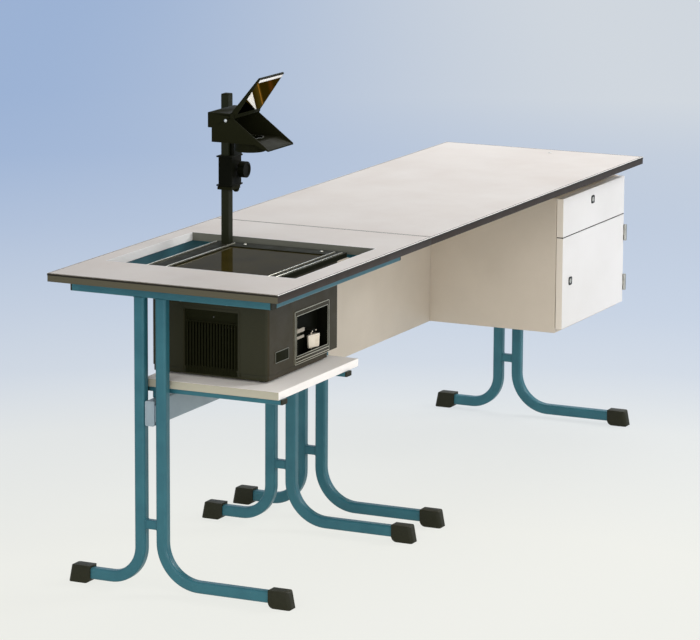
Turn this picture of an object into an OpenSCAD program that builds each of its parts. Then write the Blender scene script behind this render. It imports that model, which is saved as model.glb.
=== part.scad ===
// Projector table and teacher's desk set side by side, with an overhead projector
// standing on a lowered shelf so that its stage lies level with the table top.
// Lengths are measured from the near end (x), from the front edge (y) and from the floor (z).

/* [Table tops] */
// Height of both tops above the floor
top_height = 760; // [740:1:800]
// Depth of both tops, front edge to rear edge
top_depth = 600; // [595:1:640]
// Thickness of both tops
top_thick = 20; // [16:1:26]
// Length of the projector table's top
table_len = 844; // [830:1:880]
// Length of the desk's top
desk_len = 1430; // [1300:1:1500]
// Gap between the two tops
top_gap = 1; // [1:0.5:4]
// Thickness of the edge band
edge_band = 3; // [2:0.5:5]
// Near end of the table to the near edge of the cut-out
cutout_x = 202; // [190:1:210]
// Length of the cut-out
cutout_len = 434; // [430:1:460]
// Front edge of the table to the front edge of the cut-out
cutout_y = 55; // [45:1:70]
// Rear edge of the table to the rear edge of the cut-out
cutout_rear = 46; // [44:1:60]
// Thickness of the cut-out's edge strip
cutout_band = 2; // [1:0.5:3]

/* [Leg frames] */
// Width of a leg tube, across the frame
tube_w = 28; // [24:1:30]
// Thickness of a leg tube, along the table
tube_t = 25; // [20:1:30]
// Corner radius of a leg tube
tube_r = 6; // [4:0.5:7]
// Wall of the tubes and rails
tube_wall = 2; // [1.5:0.5:3]
// Front edge of the top to the centre of the front leg tube
front_leg_y = 349; // [340:1:355]
// Distance between the centres of the two leg tubes
leg_pitch = 57; // [54:1:64]
// Bend radius of the front leg tube, at its centre line
front_bend = 98; // [80:1:120]
// Bend radius of the rear leg tube, at its centre line
rear_bend = 80; // [70:1:90]
// Height of the foot tube's centre line
foot_z = 24; // [22:1:28]
// Front edge of the top to the front end of the feet
foot_front = 6; // [4:1:20]
// Rear edge of the top to the rear end of the feet
foot_rear = 1; // [0:1:10]
// Length of a foot cap
cap_len = 60; // [50:1:62]
// Width of a foot cap
cap_w = 33; // [31:1:38]
// Height of a foot cap
cap_h = 43; // [42:1:46]
// Outer end of a foot cap to the end of the tube in it
cap_nose = 14; // [13:1:18]
// Lean of a foot cap's outer end, in degrees
cap_lean = 11; // [0:1:12]
// Height of the short crossbar between the leg tubes
crossbar_z = 161; // [155:1:200]
// Side of the short crossbar
crossbar_h = 22; // [18:1:24]
// Near end of the table to the centre of its near frame
table_near_inset = 98; // [80:1:110]
// Far end of the table top to the centre of its far frame
table_far_inset = 67; // [60:1:80]
// Near end of the desk top to the centre of its near frame
desk_near_inset = 103; // [90:1:120]
// Far end of the desk top to the centre of its far frame
desk_far_inset = 54; // [50:1:60]

/* [Rails] */
// Height of the rails under the tops
rail_h = 35; // [30:1:40]
// Width of the rails under the tops
rail_w = 25; // [20:1:30]
// Front edge of the top to the rails' front end
rail_front = 58; // [56:1:64]
// Rear edge of the top to the rails' rear end
rail_rear = 13; // [10:1:20]
// Front edge of the desk to its rails' front end
desk_rail_front = 100; // [90:1:130]
// Thickness of the plugs that close the rails
plug_t = 4; // [3:0.5:6]
// Height of the beam between the table's two frames
beam_h = 60; // [50:1:65]
// Width of the beam, which fits between the leg tubes
beam_w = 24; // [20:1:25]
// Gap between the beam and the rails under the shelf
beam_gap = 16; // [10:1:24]

/* [Projector shelf] */
// Top of the table down to the top of the shelf
shelf_drop = 253; // [250:1:258]
// Thickness of the shelf
shelf_thick = 19; // [16:1:22]
// Near end of the table to the near edge of the shelf
shelf_x = 115; // [114:1:118]
// Length of the shelf
shelf_len = 428; // [420:1:450]
// Front edge of the table to the front edge of the shelf
shelf_y = 55; // [45:1:60]
// Depth of the shelf
shelf_dep = 355; // [340:1:370]
// Height of the flat rails under the shelf
shelf_rail_h = 12; // [10:1:14]
// Width of the flat rails under the shelf
shelf_rail_w = 28; // [22:1:32]

/* [Cabinet] */
// Near end of the desk top to the near side of the cabinet
cabinet_x = 970; // [950:1:980]
// Far end of the desk top to the far side of the cabinet
cabinet_end = 9; // [9:1:12]
// Front edge of the top to the front edge of the cabinet's sides
cabinet_y = 70; // [66:1:75]
// Depth of the cabinet's sides
cabinet_dep = 370; // [365:1:375]
// Depth of the drawer and door compartments
inner_dep = 242; // [230:1:246]
// Height of the cabinet
cabinet_h = 370; // [360:1:380]
// Thickness of the cabinet's boards
board_t = 16; // [14:1:18]
// Thickness of the cabinet's back
back_t = 8; // [4:1:10]
// Thickness of the drawer front and of the door
front_t = 18; // [16:1:19]
// Gap between the fronts and the cabinet
front_gap = 2; // [1:0.5:2.5]
// Height of the drawer front
drawer_h = 105; // [100:1:115]
// Gap all round the drawer front and the door
reveal = 3; // [2:0.5:4]
// Thickness of the drawer's sides
drawer_side_t = 12; // [10:1:13]
// Height of the drawer's sides
drawer_side_h = 66; // [60:1:68]
// Depth of the drawer's sides
drawer_dep = 226; // [210:1:228]
// Thickness of the modesty panel
panel_t = 16; // [12:1:18]
// Radius of the hinge barrels
hinge_r = 5; // [4:0.5:5]
// Length of a hinge barrel
hinge_len = 44; // [40:1:50]
// Radius of a lock's case
lock_r = 9; // [8:0.5:10]
// Radius of a lock's turning plug
plug_r = 6; // [5:0.5:6.5]

/* [Projector body] */
// Near end of the table to the near face of the body
body_x = 184; // [180:1:190]
// Length of the body
body_len = 376; // [370:1:390]
// Front edge of the table to the front face of the body
body_y = 117; // [112:1:120]
// Depth of the body
body_dep = 307; // [300:1:312]
// Wall of the body's shell
body_wall = 3; // [2:0.5:4]
// Height of the rubber feet
foot_h = 5; // [4:1:8]
// Height of the base tray
base_h = 14; // [12:1:18]
// Length of the base tray
base_len = 324; // [310:1:330]
// Top of the table down to the top of the stage
stage_drop = 10; // [7:1:14]
// Thickness of the stage frame
stage_t = 12; // [10:1:14]
// Near face of the body to the near end of the stage
stage_dx = 21; // [20:1:24]
// Length of the stage frame
stage_len = 408; // [405:1:412]
// Depth of the stage frame
stage_dep = 352; // [345:1:360]
// Length of the stage's window
window_len = 324; // [300:1:330]
// Depth of the stage's window
window_dep = 254; // [240:1:256]
// Near face of the body to the near edge of the window
window_x = 46; // [40:1:50]
// Front face of the body to the front edge of the window
window_y = 33; // [32:1:36]
// Thickness of the stage glass
glass_t = 4; // [3:0.5:5]
// Front face of the body to the side grille
grille_dy = 79; // [70:1:85]
// Width of the side grille
grille_w = 141; // [135:1:150]
// Height of the side grille
grille_h = 138; // [130:1:142]
// Number of slats in the side grille
slats = 17; // [12:1:19]
// Near face of the body to the control panel
panel_dx = 142; // [136:1:148]
// Length of the control panel
panel_len = 176; // [170:1:180]
// Height of the control panel
panel_h = 117; // [112:1:122]
// Depth of the control panel's recess
panel_dep = 30; // [28:1:34]

/* [Projector head] */
// Near face of the body to the centre of the column
column_dx = 413; // [411:1:415]
// Front face of the body to the centre of the column
column_dy = 321; // [319:1:323]
// Column size along the table
column_t = 25; // [22:1:28]
// Column size across the table
column_w = 20; // [16:1:22]
// Height of the column above the stage
column_len = 366; // [360:1:400]
// Underside of the focus carriage above the stage
carriage_rise = 140; // [135:1:150]
// Height of the focus carriage
carriage_h = 77; // [70:1:85]
// Underside of the focus carriage to the knob's shaft
knob_rise = 40; // [34:1:44]
// Radius of the focus knob
knob_r = 20; // [16:1:24]
// Length of the focus knob
knob_len = 17; // [14:1:20]
// Near face of the body to the optical axis
lens_dx = 208; // [204:1:212]
// Front face of the body to the optical axis
lens_dy = 153; // [148:1:158]
// Height of the mirror's hinge above the stage
hinge_rise = 356; // [350:1:362]
// Optical axis to the mirror's hinge
hinge_back = 13; // [12:1:16]
// Slope of the mirror above the level
mirror_slope = 55; // [45:1:60]
// Length of the mirror flap
flap_len = 117; // [105:1:120]
// Thickness of the flap at its tip
flap_tip = 4; // [4:0.5:5]
// Thickness of the flap near its hinge
flap_root = 13; // [10:0.5:14]
// Thickness of the mirror glass
mirror_t = 3; // [2:0.5:3]
// Width of the lens housing
housing_w = 134; // [126:1:140]
// Wall of the lens housing
housing_wall = 3; // [2.5:0.5:4]
// Optical axis to the front tip of the housing
housing_front = 81; // [78:1:84]
// Optical axis to the rear of the housing
housing_rear = 68; // [64:1:72]
// Underside of the housing below the mirror's hinge
housing_drop = 63; // [60:1:66]
// Underside of the housing's tip below the mirror's hinge
tip_drop = 77; // [74:1:78]
// Radius of the lens barrel
barrel_r = 37; // [34:1:39]
// Length of the lens barrel below the housing
barrel_len = 24; // [20:1:30]

/* [Hidden] */
$fn = 48;

// Small distances that keep neighbours from cutting into each other
fit = 0.2;
run_gap = 0.3;
eps = 0.01;

// Table and desk
total_len = table_len + top_gap + desk_len;
desk_x = table_len + top_gap;
rail_top = top_height - top_thick;
rail_z = rail_top - rail_h;
frame_x = [
  table_near_inset,
  table_len - table_far_inset,
  desk_x + desk_near_inset,
  total_len - desk_far_inset
];
rear_leg_y = front_leg_y + leg_pitch;
rail_end = top_depth - rail_rear;
beam_y = front_leg_y + (leg_pitch - beam_w) / 2;
cutout_dep = top_depth - cutout_y - cutout_rear;
table_rail_x0 = frame_x[0] + rail_w / 2;
table_rail_x1 = frame_x[1] + rail_w / 2 - plug_t;
desk_long_y = [desk_rail_front + 30, rail_end - rail_w - plug_t];

// Shelf
shelf_top = top_height - shelf_drop;
shelf_rail_z = shelf_top - shelf_thick - shelf_rail_h;
beam_z = shelf_rail_z - beam_gap - beam_h;
shelf_rail_x = [shelf_x + 6, shelf_x + shelf_len - 78];
shelf_rail_y0 = shelf_y - 6;
shelf_rail_y1 = shelf_y + shelf_dep - 8;

// Cabinet
cab_x0 = desk_x + cabinet_x;
cab_x1 = total_len - cabinet_end;
cab_top = rail_z;
cabinet_z = cab_top - cabinet_h;
cab_y1 = cabinet_y + cabinet_dep;
inner_y1 = cabinet_y + inner_dep;
inner_x0 = cab_x0 + board_t;
inner_x1 = cab_x1 - board_t;
front_y = cabinet_y - front_gap - front_t;
front_x0 = cab_x0 + 2;
front_x1 = cab_x1 - 2;
drawer_z1 = cab_top - 1;
drawer_z0 = drawer_z1 - drawer_h;
door_z1 = drawer_z0 - reveal;
door_z0 = cabinet_z + 12;
divider_z = (drawer_z0 + door_z1 - board_t) / 2;
runner_w = 5;
runner_gap = 0.6;
side_x0 = inner_x0 + 2 * runner_w + runner_gap;
side_x1 = inner_x1 - 2 * runner_w - runner_gap;
drawer_floor = divider_z + board_t + 6;
runner_z = drawer_floor + 24;
runner_h = 25;
hinge_x = cab_x1 + 3;
hinge_y = front_y - 3;
hinge_zs = [door_z0 + 33, door_z1 - 75];
leaf_t = 1.5;
drawer_lock_x = (front_x0 + front_x1) / 2 - 12;
drawer_lock_z = drawer_z1 - 31;
door_lock_x = front_x0 + 56;
door_lock_z = (door_z0 + door_z1) / 2;
cam_y = front_y + front_t + 3;
cam_t = 3;
drawer_cam = drawer_z1 - drawer_lock_z - board_t + 6;
door_cam = door_lock_x - inner_x0 + 6;

// Projector body
stage_top = top_height - stage_drop;
base_z = shelf_top + foot_h;
body_z = base_z + base_h;
stage_z = stage_top - stage_t;
body_x1 = body_x + body_len;
body_y1 = body_y + body_dep;
grille_y = [body_y + grille_dy, body_y + grille_dy + grille_w];
grille_z = [body_z + 4, body_z + 4 + grille_h];
panel_x = [body_x + panel_dx, body_x + panel_dx + panel_len];
panel_z = [body_z + 5, body_z + 5 + panel_h];
glass_z = stage_top - 6;
column_x = body_x + column_dx;
column_y = body_y + column_dy;
lamp_x = body_x + lens_dx;
lamp_y = body_y + lens_dy;
lamp_step = 36;
lever_x = panel_x[0] + 14;
lever_z = panel_z[0] + 61;
lever_t = 6;
rocker_x = (panel_x[0] + panel_x[1]) / 2 + 26;
rocker_y = body_y + panel_dep - 16;
rocker_z = panel_z[0] + 33;
rocker_w = 46;
rocker_h = 40;
pivot_r = 2;
fan_x = body_x + 16;
fan_y = (grille_y[0] + grille_y[1]) / 2;
fan_z = (grille_z[0] + grille_z[1]) / 2 - 6;
fan_r = 50;

// Projector head
lens_x = body_x + lens_dx;
lens_y = body_y + lens_dy;
rack_t = 3;
rack_w = 8;
tooth = 1.7;
tooth_pitch = PI;
pinion_teeth = 18;
pinion_r = pinion_teeth * tooth_pitch / (2 * PI) + 0.5;
mesh = 0.9;
pinion_x = column_x + column_t / 2 + rack_t + tooth - mesh + pinion_r;
column_top = stage_top + column_len;
carriage_z = stage_top + carriage_rise;
hinge_z = stage_top + hinge_rise;
knob_z = carriage_z + knob_rise;
carriage_x0 = column_x - 17;
carriage_x1 = pinion_x + 13;
carriage_y0 = column_y - 21;
carriage_y1 = column_y + 16;
housing_z0 = hinge_z - housing_drop;
housing_top = hinge_z + 7;
cap_z = hinge_z - 29;
cap_over = 10;
tip_z = hinge_z - tip_drop;
floor_bend = 45;
arm_z0 = housing_z0 + 2;
arm_z1 = cap_z - 1;
lens_r = 28;
spigot_r = 31;
flap_under = 5;
flap_w = housing_w - 2 * housing_wall - 1;
hinge_pin_r = 2;

// Placing
module bench() translate([-total_len / 2, -top_depth / 2, 0]) children();
module box(x0, x1, y0, y1, z0, z1) translate([x0, y0, z0]) cube([x1 - x0, y1 - y0, z1 - z0]);
module head_frame() translate([lens_x, lens_y, 0]) children();

// Rounded rectangle, centred
module rounded(w, h, r) {
  square([w - 2 * r, h], center = true);
  square([w, h - 2 * r], center = true);
  for (sx = [-1, 1], sy = [-1, 1])
    translate([sx * (w / 2 - r), sy * (h / 2 - r)]) circle(r);
}

// Block with rounded outline in plan
module slab(x0, x1, y0, y1, z0, z1, r) {
  translate([(x0 + x1) / 2, (y0 + y1) / 2, z0])
    linear_extrude(z1 - z0) rounded(x1 - x0, y1 - y0, r);
}

// Bar along y with rounded corners in its section
module bar_y(x, z, w, h, r, y0, y1) {
  translate([x, y1, z]) rotate([90, 0, 0]) linear_extrude(y1 - y0) rounded(w, h, r);
}

// Bar along x with rounded corners in its section
module bar_x(y, z, w, h, r, x0, x1) {
  translate([x0, y, z]) rotate([90, 0, 90]) linear_extrude(x1 - x0) rounded(w, h, r);
}

// Hollow rails
module rail_y(x, y0, y1) {
  difference() {
    bar_y(x, rail_z + rail_h / 2, rail_w, rail_h, 3, y0, y1);
    bar_y(x, rail_z + rail_h / 2, rail_w - 2 * tube_wall, rail_h - 2 * tube_wall, 1, y0 - 1, y1 + 1);
  }
}
module rail_x(y, x0, x1) {
  difference() {
    bar_x(y, rail_z + rail_h / 2, rail_w, rail_h, 3, x0, x1);
    bar_x(y, rail_z + rail_h / 2, rail_w - 2 * tube_wall, rail_h - 2 * tube_wall, 1, x0 - 1, x1 + 1);
  }
}

// One bent leg tube, standing on y = 0 with its foot towards -y
module leg_path(w, t, r, bend, reach, top) {
  translate([0, 0, foot_z + bend]) linear_extrude(top - foot_z - bend) rounded(t, w, r);
  translate([0, -bend, foot_z + bend]) rotate([90, 0, 90]) rotate([0, 0, -90])
    rotate_extrude(angle = 90, $fn = 96) translate([bend, 0]) rounded(w, t, r);
  bar_y(0, foot_z, t, w, r, -reach, -bend);
}
module leg_tube(bend, reach) {
  inner_r = tube_r - tube_wall;
  difference() {
    leg_path(tube_w, tube_t, tube_r, bend, reach, rail_z);
    leg_path(tube_w - 2 * tube_wall, tube_t - 2 * tube_wall, inner_r, bend, reach + 1, rail_z + 1);
  }
}
front_reach = front_leg_y - foot_front - cap_nose;
rear_reach = top_depth - foot_rear - rear_leg_y - cap_nose;
module leg_pair(x) {
  translate([x, front_leg_y, 0]) leg_tube(front_bend, front_reach);
  translate([x, rear_leg_y, 0]) mirror([0, 1, 0]) leg_tube(rear_bend, rear_reach);
  bar_y(x, crossbar_z, crossbar_h - 4, crossbar_h, 3, front_leg_y + tube_w / 2, rear_leg_y - tube_w / 2);
}

// Table tops
module top_board(x0, x1) {
  box(x0 + edge_band, x1 - edge_band, edge_band, top_depth - edge_band, rail_top, top_height);
}
module top_band(x0, x1) {
  difference() {
    box(x0, x1, 0, top_depth, rail_top, top_height);
    box(x0 + edge_band, x1 - edge_band, edge_band, top_depth - edge_band, rail_top - 1, top_height + 1);
  }
}
module cutout(grow, over) {
  box(cutout_x - grow, cutout_x + cutout_len + grow, cutout_y - grow, cutout_y + cutout_dep + grow,
    rail_top - over, top_height + over);
}
module projector_top() bench() color("gainsboro") difference() {
  top_board(0, table_len);
  cutout(cutout_band, 1);
}
module projector_top_edge() bench() color([0.30, 0.27, 0.25]) top_band(0, table_len);
module cutout_edge() bench() color("whitesmoke") difference() {
  cutout(cutout_band, 0);
  cutout(0, 1);
}
module desk_top() bench() color("gainsboro") top_board(desk_x, total_len);
module desk_top_edge() bench() color([0.30, 0.27, 0.25]) top_band(desk_x, total_len);

// Leg frames
teal = [0.22, 0.43, 0.50];
module table_near_frame() bench() color(teal) {
  leg_pair(frame_x[0]);
  rail_y(frame_x[0], rail_front + plug_t, rail_end - plug_t);
}
module table_far_frame() bench() color(teal) {
  leg_pair(frame_x[1]);
  rail_y(frame_x[1], rail_front + rail_w, rail_end - rail_w);
}
module desk_near_frame() bench() color(teal) {
  leg_pair(frame_x[2]);
  rail_y(frame_x[2], desk_rail_front, rail_end - plug_t);
}
module desk_far_frame() bench() color(teal) {
  leg_pair(frame_x[3]);
  rail_y(frame_x[3], desk_rail_front, rail_end - plug_t);
}
module table_long_rails() bench() color(teal)
  for (y = [rail_front, rail_end - rail_w])
    rail_x(y + rail_w / 2, table_rail_x0, table_rail_x1);
module desk_long_rails() bench() color(teal)
  for (y = desk_long_y)
    rail_x(y + rail_w / 2, frame_x[2] + rail_w / 2, frame_x[3] - rail_w / 2);

// Foot cap with its outer end at y = 0 and its tube coming in from +y
module cap_side() {
  top_r = 8;
  toe_r = 4;
  heel_r = 15;
  out = [-cos(cap_lean), sin(cap_lean)];
  top_c = [(cap_h - top_r) * tan(cap_lean) + top_r / cos(cap_lean), cap_h - top_r];
  toe_c = [toe_r * tan(cap_lean) + toe_r / cos(cap_lean), toe_r];
  heel_c = [cap_len - heel_r, heel_r];
  polygon([
    [toe_c[0], 0], [cap_len - heel_r, 0], [cap_len, heel_r], [cap_len, cap_h],
    [top_c[0], cap_h], top_c + top_r * out, toe_c + toe_r * out
  ]);
  translate(top_c) circle(top_r);
  translate(toe_c) circle(toe_r);
  translate(heel_c) circle(heel_r);
}
module foot_cap() difference() {
  intersection() {
    translate([-cap_w, 0, 0]) rotate([90, 0, 90]) linear_extrude(2 * cap_w) cap_side();
    rotate([-cap_lean, 0, 0]) translate([0, cap_len, -cap_len])
      linear_extrude(cap_h + 2 * cap_len) rounded(cap_w, 2 * cap_len, 10);
  }
  bar_y(0, foot_z, tube_t + 2 * fit, tube_w + 2 * fit, tube_r, cap_nose, cap_len + 1);
}
module foot_caps() bench() color([0.14, 0.14, 0.11]) for (x = frame_x) {
  translate([x, foot_front, 0]) foot_cap();
  translate([x, top_depth - foot_rear, 0]) mirror([0, 1, 0]) foot_cap();
}

module plug_y(x, y) bar_y(x, rail_z + rail_h / 2, rail_w, rail_h, 3, y, y + plug_t);
module shelf_plug(x, y) {
  bar_y(x + shelf_rail_w / 2, shelf_rail_z + shelf_rail_h / 2, shelf_rail_w, shelf_rail_h, 2, y, y + plug_t);
}
module rail_plugs() bench() color([0.14, 0.14, 0.11]) {
  for (y = [rail_front, rail_end - plug_t]) plug_y(frame_x[0], y);
  for (x = [frame_x[2], frame_x[3]]) plug_y(x, rail_end - plug_t);
  for (x = [frame_x[2], frame_x[3]]) plug_y(x, desk_rail_front - plug_t);
  for (y = [rail_front, rail_end - rail_w])
    bar_x(y + rail_w / 2, rail_z + rail_h / 2, rail_w, rail_h, 3, table_rail_x1, table_rail_x1 + plug_t);
  for (x = shelf_rail_x) {
    shelf_plug(x, shelf_rail_y0);
    shelf_plug(x, shelf_rail_y1 - plug_t);
  }
}

// Beam and shelf
module stretcher_beam() bench() color([0.50, 0.56, 0.60]) {
  wall = tube_wall;
  mid = beam_y + beam_w / 2;
  x0 = frame_x[0] - tube_t / 2;
  x1 = frame_x[1] + tube_t / 2;
  difference() {
    bar_x(mid, beam_z + beam_h / 2, beam_w, beam_h, 4, x0, x1);
    bar_x(mid, beam_z + beam_h / 2, beam_w - 2 * wall, beam_h - 2 * wall, 2, x0 + wall, x1 - wall);
  }
  for (x = [frame_x[0], frame_x[1]], side = [-1, 1])
    box(x - 8, x + 8, mid + side * (leg_pitch - tube_w + beam_w) / 4 - (leg_pitch - tube_w - beam_w) / 4,
      mid + side * (leg_pitch - tube_w + beam_w) / 4 + (leg_pitch - tube_w - beam_w) / 4,
      beam_z + 10, beam_z + beam_h - 10);
}
module shelf_board() bench() color([0.90, 0.87, 0.82])
  box(shelf_x, shelf_x + shelf_len, shelf_y, shelf_y + shelf_dep, shelf_top - shelf_thick, shelf_top);
module shelf_rails() bench() color(teal) for (x = shelf_rail_x) {
  bar_y(x + shelf_rail_w / 2, shelf_rail_z + shelf_rail_h / 2, shelf_rail_w, shelf_rail_h, 2,
    shelf_rail_y0 + plug_t, shelf_rail_y1 - plug_t);
  box(x + 4, x + shelf_rail_w - 4, beam_y, beam_y + beam_w, beam_z + beam_h, shelf_rail_z);
}

// Plates that join the two tops and hold the modesty panel to the legs
link_y = [140, 330, 470];
module fixing_plates() bench() color("silver") {
  for (y = link_y) slab(desk_x - 40, desk_x + 40, y, y + 30, rail_top - 3, rail_top, 5);
  for (x = [frame_x[2], frame_x[3]], z = [cabinet_z + 45, rail_z - 60])
    box(x - 9, x + 9, rear_leg_y + tube_w / 2, cab_y1, z, z + 26);
}
module modesty_panel() bench() color([0.72, 0.67, 0.62])
  box(frame_x[2] - tube_t / 2, cab_x1, cab_y1, cab_y1 + panel_t, cabinet_z, rail_z);

// Cabinet
greige = [0.69, 0.66, 0.60];
module cabinet_sides() bench() color(greige) {
  difference() {
    box(cab_x0, inner_x0, cabinet_y, cab_y1, cabinet_z, cab_top);
    box(inner_x0 - 9, inner_x0 + 1, cam_y - 1.5, cam_y + cam_t + 1.5, door_lock_z - 6, door_lock_z + 34);
  }
  box(inner_x1, cab_x1, cabinet_y, cab_y1, cabinet_z, cab_top);
}
module cabinet_boards() bench() color(greige) {
  box(inner_x0, inner_x1, cabinet_y, inner_y1, cabinet_z, cabinet_z + board_t);
  box(inner_x0, inner_x1, cabinet_y, inner_y1, divider_z, divider_z + board_t);
  difference() {
    box(inner_x0, inner_x1, cabinet_y, inner_y1, cab_top - board_t, cab_top);
    box(drawer_lock_x - 5, drawer_lock_x + drawer_cam + 1, cam_y - 1.5, cam_y + cam_t + 1.5,
      cab_top - board_t - 1, cab_top - board_t + 8);
  }
}
module cabinet_back() bench() color(greige)
  box(inner_x0, inner_x1, inner_y1, inner_y1 + back_t, cabinet_z, cab_top);

// Drawer
white = [0.92, 0.92, 0.92];
module drawer_front() bench() color(white) difference() {
  box(front_x0, front_x1, front_y, front_y + front_t, drawer_z0, drawer_z1);
  lock_bore(drawer_lock_x, drawer_lock_z);
}
module lock_bore(x, z) {
  translate([x, front_y - 1, z]) rotate([-90, 0, 0]) cylinder(r = lock_r + fit, h = front_t + 2);
}
module drawer_box() bench() color([0.80, 0.78, 0.74]) {
  y0 = front_y + front_t;
  y1 = y0 + drawer_dep;
  z0 = drawer_floor;
  z1 = drawer_floor + drawer_side_h;
  box(side_x0, side_x0 + drawer_side_t, y0, y1, z0, z1);
  box(side_x1 - drawer_side_t, side_x1, y0, y1, z0, z1);
  box(side_x0 + drawer_side_t, side_x1 - drawer_side_t, y1 - drawer_side_t, y1, z0, z1);
}
module drawer_bottom() bench() color([0.85, 0.83, 0.79])
  box(side_x0 + drawer_side_t, side_x1 - drawer_side_t, front_y + front_t,
    front_y + front_t + drawer_dep - drawer_side_t, drawer_floor, drawer_floor + 4);
module runner_rails() bench() color("silver") for (x = [inner_x0, inner_x1 - runner_w])
  box(x, x + runner_w, cabinet_y + 3, cabinet_y + drawer_dep - 6, runner_z, runner_z + runner_h);
module runner_slides() bench() color("silver")
  for (x = [side_x0 - runner_w, side_x1])
    box(x, x + runner_w, cabinet_y + 3, cabinet_y + drawer_dep - 6, runner_z + 3, runner_z + runner_h - 3);

// Door and its hinges
module door_panel() bench() color(white) difference() {
  box(front_x0, front_x1, front_y, front_y + front_t, door_z0, door_z1);
  lock_bore(door_lock_x, door_lock_z);
  for (z = hinge_zs)
    box(front_x1 - leaf_t, front_x1 + 1, front_y - 1, front_y + front_t + 1, z - 1, z + hinge_len + 1);
  for (z = hinge_zs)
    translate([hinge_x, hinge_y, z - 1]) cylinder(r = hinge_r + 0.5, h = hinge_len + 2);
}
knuckle = (hinge_len - 0.8) / 3;
pin_r = 2;
module barrel(z, len) {
  translate([hinge_x, hinge_y, z]) difference() {
    cylinder(r = hinge_r, h = len);
    translate([0, 0, -1]) cylinder(r = pin_r + 0.05, h = len + 2);
  }
}
module hinge_side_leaves() bench() color("silver") for (z = hinge_zs) {
  for (k = [0, 2]) {
    barrel(z + k * (knuckle + 0.4), knuckle);
    box(cab_x1, cab_x1 + leaf_t, hinge_y + 3.2, cabinet_y + 28, z + k * (knuckle + 0.4),
      z + k * (knuckle + 0.4) + knuckle);
  }
  box(cab_x1, cab_x1 + leaf_t, cabinet_y, cabinet_y + 28, z, z + hinge_len);
}
module hinge_door_leaves() bench() color("silver") for (z = hinge_zs) {
  barrel(z + knuckle + 0.4, knuckle);
  box(front_x1 - leaf_t, front_x1, hinge_y + hinge_r - 1, front_y + front_t, z, z + hinge_len);
  box(front_x1 - leaf_t, front_x1 + 1, hinge_y + 1.5, hinge_y + hinge_r, z + knuckle + 0.4, z + 2 * knuckle + 0.4);
}
module hinge_pins() bench() color("silver") for (z = hinge_zs)
  translate([hinge_x, hinge_y, z - 1]) union() {
    cylinder(r = pin_r, h = hinge_len + 2);
    cylinder(r = pin_r + 1.5, h = 0.9);
    translate([0, 0, hinge_len + 1.1]) cylinder(r = pin_r + 1.5, h = 0.9);
  }

// Locks
module lock_case(x, z) translate([x, front_y - 1, z]) rotate([-90, 0, 0]) difference() {
  union() {
    cylinder(r = lock_r, h = front_t + 2);
    cylinder(r = lock_r + 1.5, h = 1);
  }
  translate([0, 0, -1]) cylinder(r = plug_r + 0.05, h = front_t + 4);
}
module lock_plug(x, z) translate([x, front_y - 1.5, z]) rotate([-90, 0, 0]) difference() {
  cylinder(r = plug_r, h = cam_y - front_y + 1.5 + cam_t);
  translate([-0.8, -3.5, -1]) cube([1.6, 7, 5]);
}
module drawer_lock_case() bench() color("silver") lock_case(drawer_lock_x, drawer_lock_z);
module drawer_lock_plug() bench() color("gray") {
  lock_plug(drawer_lock_x, drawer_lock_z);
  box(drawer_lock_x + plug_r - 1, drawer_lock_x + drawer_cam, cam_y, cam_y + cam_t,
    drawer_lock_z - 4, drawer_lock_z + 4);
}
module door_lock_case() bench() color("silver") lock_case(door_lock_x, door_lock_z);
module door_lock_plug() bench() color("gray") {
  lock_plug(door_lock_x, door_lock_z);
  box(door_lock_x - 4, door_lock_x + 4, cam_y, cam_y + cam_t, door_lock_z + plug_r - 1, door_lock_z + door_cam);
}

// Projector body
olive = [0.17, 0.17, 0.14];
module projector_feet() bench() color([0.1, 0.1, 0.1])
  for (x = [body_x + 24, body_x + base_len - 24], y = [body_y + 24, body_y1 - 24])
    translate([x, y, shelf_top]) cylinder(r = 10, h = foot_h);
module projector_base() bench() color(olive) {
  slab(body_x + 2, body_x + base_len, body_y + 2, body_y1 - 2, base_z, base_z + 4, 8);
  difference() {
    slab(body_x + 2, body_x + base_len, body_y + 2, body_y1 - 2, base_z, body_z, 8);
    slab(body_x + 6, body_x + base_len - 4, body_y + 6, body_y1 - 6, base_z - 1, body_z + 1, 5);
  }
}
module body_windows() {
  box(body_x - 1, body_x + 8, grille_y[0], grille_y[1], grille_z[0], grille_z[1]);
  box(panel_x[0], panel_x[1], body_y - 1, body_y + 8, panel_z[0], panel_z[1]);
}
module projector_body() bench() color(olive) {
  w = body_wall;
  difference() {
    slab(body_x, body_x1, body_y, body_y1, body_z, stage_z, 9);
    slab(body_x + w, body_x1 - w, body_y + w, body_y1 - w, body_z + 2, stage_z - w, 7);
    window(0, stage_z - w - 1, stage_z + 1);
    box(body_x + 30, body_x + base_len - 20, body_y + 30, body_y1 - 30, body_z - 1, body_z + 3);
    body_windows();
    box(inlet_x - 16 - fit, inlet_x + 16 + fit, body_y1 - 8, body_y1 + 1, inlet_z - 12 - fit, inlet_z + 12 + fit);
  }
}
grille_step = (grille_y[1] - grille_y[0] - 8) / slats;
module side_grille() bench() color([0.10, 0.10, 0.09]) {
  difference() {
    box(body_x + 1, body_x + 7, grille_y[0], grille_y[1], grille_z[0], grille_z[1]);
    box(body_x, body_x + 8, grille_y[0] + 4, grille_y[1] - 4, grille_z[0] + 4, grille_z[1] - 30);
    box(body_x, body_x + 5, grille_y[0] + 4, grille_y[1] - 4, grille_z[1] - 26, grille_z[1] - 4);
  }
  for (k = [0 : slats - 1])
    box(body_x + 1.5, body_x + 6.5, grille_y[0] + 4 + (k + 0.25) * grille_step,
      grille_y[0] + 4 + (k + 0.75) * grille_step, grille_z[0] + 4 - eps, grille_z[1] - 30 + eps);
}
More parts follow.
